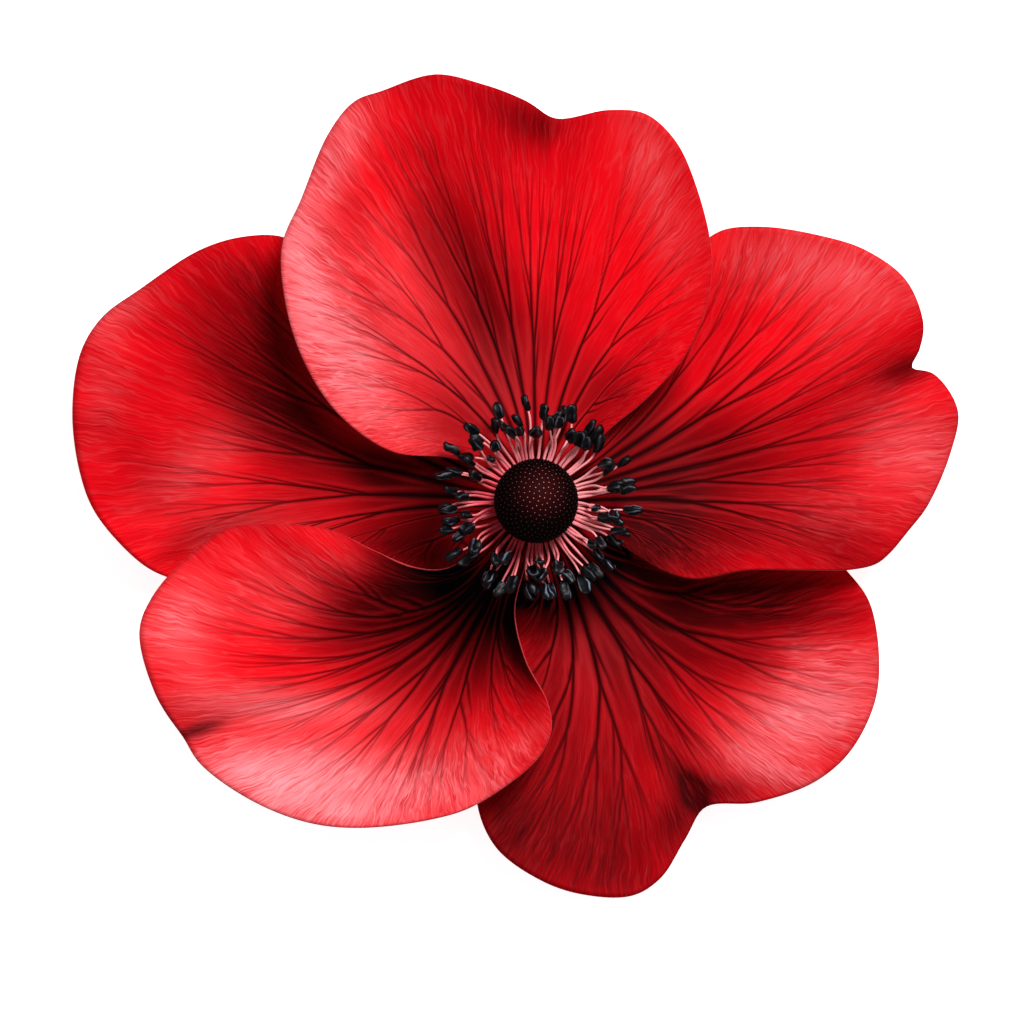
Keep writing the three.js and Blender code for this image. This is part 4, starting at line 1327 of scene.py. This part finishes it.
class HeadSettings(bpy.types.PropertyGroup):
    styles: count_property("Styles", 780, "Places round the whole head")
    style_width: length_property("Style width", 0.185, "Width and height of one style")
    seed: count_property("Seed", 3, "Seed of the styles' sizes")
    flesh: colour_property("Flesh", (0.0015, 0.0005, 0.0006), "Black of the head")
    # Maroon of the painted light on the head.
    flesh_painted_light: colour_property("Flesh glow", (0.02, 0.0012, 0.0016), "Maroon of the head")
    style_tip: colour_property("Style tip", (0.62, 0.21, 0.19), "Pale pink of the style tips")


class StalkSettings(bpy.types.PropertyGroup):
    hair_length: length_property("Hair length", 0.5, "Length of the down on the stalk")
    hair_radius: length_property("Hair radius", 0.012, "Radius of one hair at its root")
    hair_density: FloatProperty(
        name="Hair density", description="Hairs per square metre", default=9e6, min=0
    )
    seed: count_property("Seed", 5, "Seed of the down")
    skin: colour_property("Skin", (0.20, 0.30, 0.08), "Light green of the stalk")
    skin_dark: colour_property("Dark skin", (0.10, 0.16, 0.045), "Dark green of the stalk")
    pith: colour_property("Pith", (0.62, 0.66, 0.42), "Pale middle of the cut stalk")
    down: colour_property("Down", (0.75, 0.76, 0.66), "Silvery hairs")


class StageSettings(bpy.types.PropertyGroup):
    floor_size: FloatProperty(
        name="Floor size", description="Side of the floor", default=3, unit="LENGTH"
    )
    floor_colour: colour_property("Floor", (0.86, 0.86, 0.86), "Colour of the plain floor")
    floor_glow: FloatProperty(name="Floor glow", description="Light of the lit table", default=0.8)
    key: FloatProperty(name="Key", description="Power of the key light", default=4.4, unit="POWER")
    fill: FloatProperty(name="Fill", description="Strength of the even light", default=0.32)
    lens: FloatProperty(name="Lens", description="Focal length in millimetres", default=250)
    frame_width: length_property("Frame width", 102.1, "Width seen at the tepals' height")


class BloomSettings(bpy.types.PropertyGroup):
    tepals: PointerProperty(type=TepalSettings)
    stamens: PointerProperty(type=StamenSettings)
    head: PointerProperty(type=HeadSettings)
    stalk: PointerProperty(type=StalkSettings)
    stage: PointerProperty(type=StageSettings)


# ---- Operators ----

KEY_PLACE = (0.16, 0.30, 0.46)  # metres from the heart
KEY_SIZE = 0.22
SENSOR_WIDTH = 36
LOOK_AT = (-2.4, -1.1, 8)  # mm from the heart: the middle of the view, at the tepals' height
FAR_CLIP = 100
FLOOR_DROP = 0.02


class ANEMONE_OT_tepals(bpy.types.Operator):
    """Build the five tepals"""

    bl_idname = "anemone.tepals"
    bl_label = "Tepals"

    def execute(self, context):
        settings = context.scene.anemone.tepals
        material = tepal_material(settings)
        for name, tepal in TEPALS.items():
            hand_over(build_tepal(name, tepal, settings), "tepal_" + name, material)
        return {"FINISHED"}


class ANEMONE_OT_stamens(bpy.types.Operator):
    """Build the ring of stamens and the collar that they grow from"""

    bl_idname = "anemone.stamens"
    bl_label = "Stamens"

    def execute(self, context):
        settings = context.scene.anemone.stamens
        values = {
            "Filament Radius": settings.filament_radius,
            "Filament Sides": settings.filament_sides,
            "Anther": anther_mesh(settings),
            "Anther Length": settings.anther_length,
            "Anther Unevenness": settings.anther_unevenness,
            "Seed": settings.seed,
            "Filament Material": filament_material(settings),
            "Anther Material": anther_material(settings),
        }
        ring = stamen_tree(values).run_on(stamen_spines(), "stamen_ring")
        hand_over(ring, "stamens")
        colour = plain_material("collar", settings.collar, Specular_IOR_Level=0.3)
        collar = turned("stamen_collar", COLLAR_PROFILE)
        hand_over(collar, "stamens", colour)
        return {"FINISHED"}


class ANEMONE_OT_carpel_head(bpy.types.Operator):
    """Build the studded head of carpels"""

    bl_idname = "anemone.carpel_head"
    bl_label = "Carpel head"

    def execute(self, context):
        settings = context.scene.anemone.head
        values = {
            "Centre": tuple(HEART + Vector((0, 0, HEAD_CENTRE * MM))),
            "Radius": HEAD_RADIUS * MM,
            "Half Height": HEAD_HALF_HEIGHT * MM,
            "Foot": HEART.z + HEAD_FOOT * MM,
            "Styles": settings.styles,
            "Style": style_mesh(),
            "Style Width": settings.style_width,
            "Seed": settings.seed,
            "Material": head_material(settings),
        }
        cushion = head_tree(values).run_on(mesh_object("head_host", [], []), "carpel_cushion")
        hand_over(cushion, "carpel_head")
        return {"FINISHED"}


class ANEMONE_OT_stalk(bpy.types.Operator):
    """Build the receptacle with the cut stub of the stalk and its down"""

    bl_idname = "anemone.stalk"
    bl_label = "Receptacle and stalk"

    def execute(self, context):
        settings = context.scene.anemone.stalk
        host = turned("stalk_host", STALK_PROFILE)
        places = [(vertex.co - HEART) / MM for vertex in host.data.vertices]
        on_cut = [place.z < PITH_TOP and place.xy.length < PITH_RADIUS for place in places]
        set_attributes(host.data, pith=on_cut)
        values = {
            "Density": settings.hair_density,
            "Hair Length": settings.hair_length,
            "Hair Radius": settings.hair_radius,
            "Lowest Root": HEART.z + DOWN_FOOT * MM,
            "Highest Root": HEART.z + DOWN_TOP * MM,
            "Seed": settings.seed,
            "Skin Material": stalk_material(settings),
            "Hair Material": plain_material("silver_down", settings.down),
        }
        stalk = hair_tree(values).run_on(host, "stalk_stub")
        hand_over(stalk, "receptacle")
        return {"FINISHED"}


class ANEMONE_OT_stage(bpy.types.Operator):
    """Lay the floor and set the light and the camera"""

    bl_idname = "anemone.stage"
    bl_label = "Stage"

    def execute(self, context):
        settings = context.scene.anemone.stage
        scene = context.scene
        half = settings.floor_size / 2
        corners = [(-half, -half), (half, -half), (half, half), (-half, half)]
        points = [(x, y, -FLOOR_DROP * MM) for x, y in corners]
        floor = mesh_object("floor", points, [range(4)])
        pale = Finish(
            "pale_floor",
            Base_Color=settings.floor_colour,
            Roughness=0.9,
            Specular_IOR_Level=0.0,
            Emission_Color=(1, 1, 1),
            Emission_Strength=settings.floor_glow,
        )
        floor.data.materials.append(pale.material)
        world = bpy.data.worlds.new("even_light")
        world.use_nodes = True
        sky = Nodes(world.node_tree)
        sky.give(sky.tree.nodes["Background"], Color=(1, 1, 1), Strength=settings.fill)
        scene.world = world
        key = bpy.data.lights.new("key", "AREA")
        key.shape = "DISK"
        key.size = KEY_SIZE
        key.energy = settings.key
        lamp = in_scene("key", key)
        lamp.location = HEART + Vector(KEY_PLACE)
        lamp.rotation_euler = (HEART - lamp.location).to_track_quat("-Z", "Y").to_euler()
        camera = bpy.data.cameras.new("camera")
        camera.sensor_width = SENSOR_WIDTH
        camera.lens = settings.lens
        camera.clip_end = FAR_CLIP
        eye = in_scene("camera", camera)
        distance = settings.frame_width * settings.lens / SENSOR_WIDTH
        eye.location = HEART + Vector(LOOK_AT) * MM + Vector((0, 0, distance))
        scene.camera = eye
        scene.view_settings.view_transform = "Standard"
        return {"FINISHED"}


OPERATORS = (
    ANEMONE_OT_stage,
    ANEMONE_OT_stalk,
    ANEMONE_OT_tepals,
    ANEMONE_OT_stamens,
    ANEMONE_OT_carpel_head,
)


class ANEMONE_PT_bloom(bpy.types.Panel):
    """Lists what builds the bloom, with its sizes and colours"""

    bl_label = "Poppy anemone bloom"
    bl_space_type = "VIEW_3D"
    bl_region_type = "UI"
    bl_category = "Anemone"

    def draw(self, context):
        for operator in OPERATORS:
            self.layout.operator(operator.bl_idname)
        bloom = context.scene.anemone
        for group in (bloom.tepals, bloom.stamens, bloom.head, bloom.stalk, bloom.stage):
            box = self.layout.box()
            for name in group.__annotations__:
                box.prop(group, name)


CLASSES = (
    TepalSettings,
    StamenSettings,
    HeadSettings,
    StalkSettings,
    StageSettings,
    BloomSettings,
    *OPERATORS,
    ANEMONE_PT_bloom,
)


def register():
    for each in CLASSES:
        bpy.utils.register_class(each)
    bpy.types.Scene.anemone = PointerProperty(type=BloomSettings)


def unregister():
    del bpy.types.Scene.anemone
    for each in reversed(CLASSES):
        bpy.utils.unregister_class(each)


def main():
    register()
    for operator in OPERATORS:
        family, name = operator.bl_idname.split(".")
        getattr(getattr(bpy.ops, family), name)()


if __name__ == "__main__":
    main()
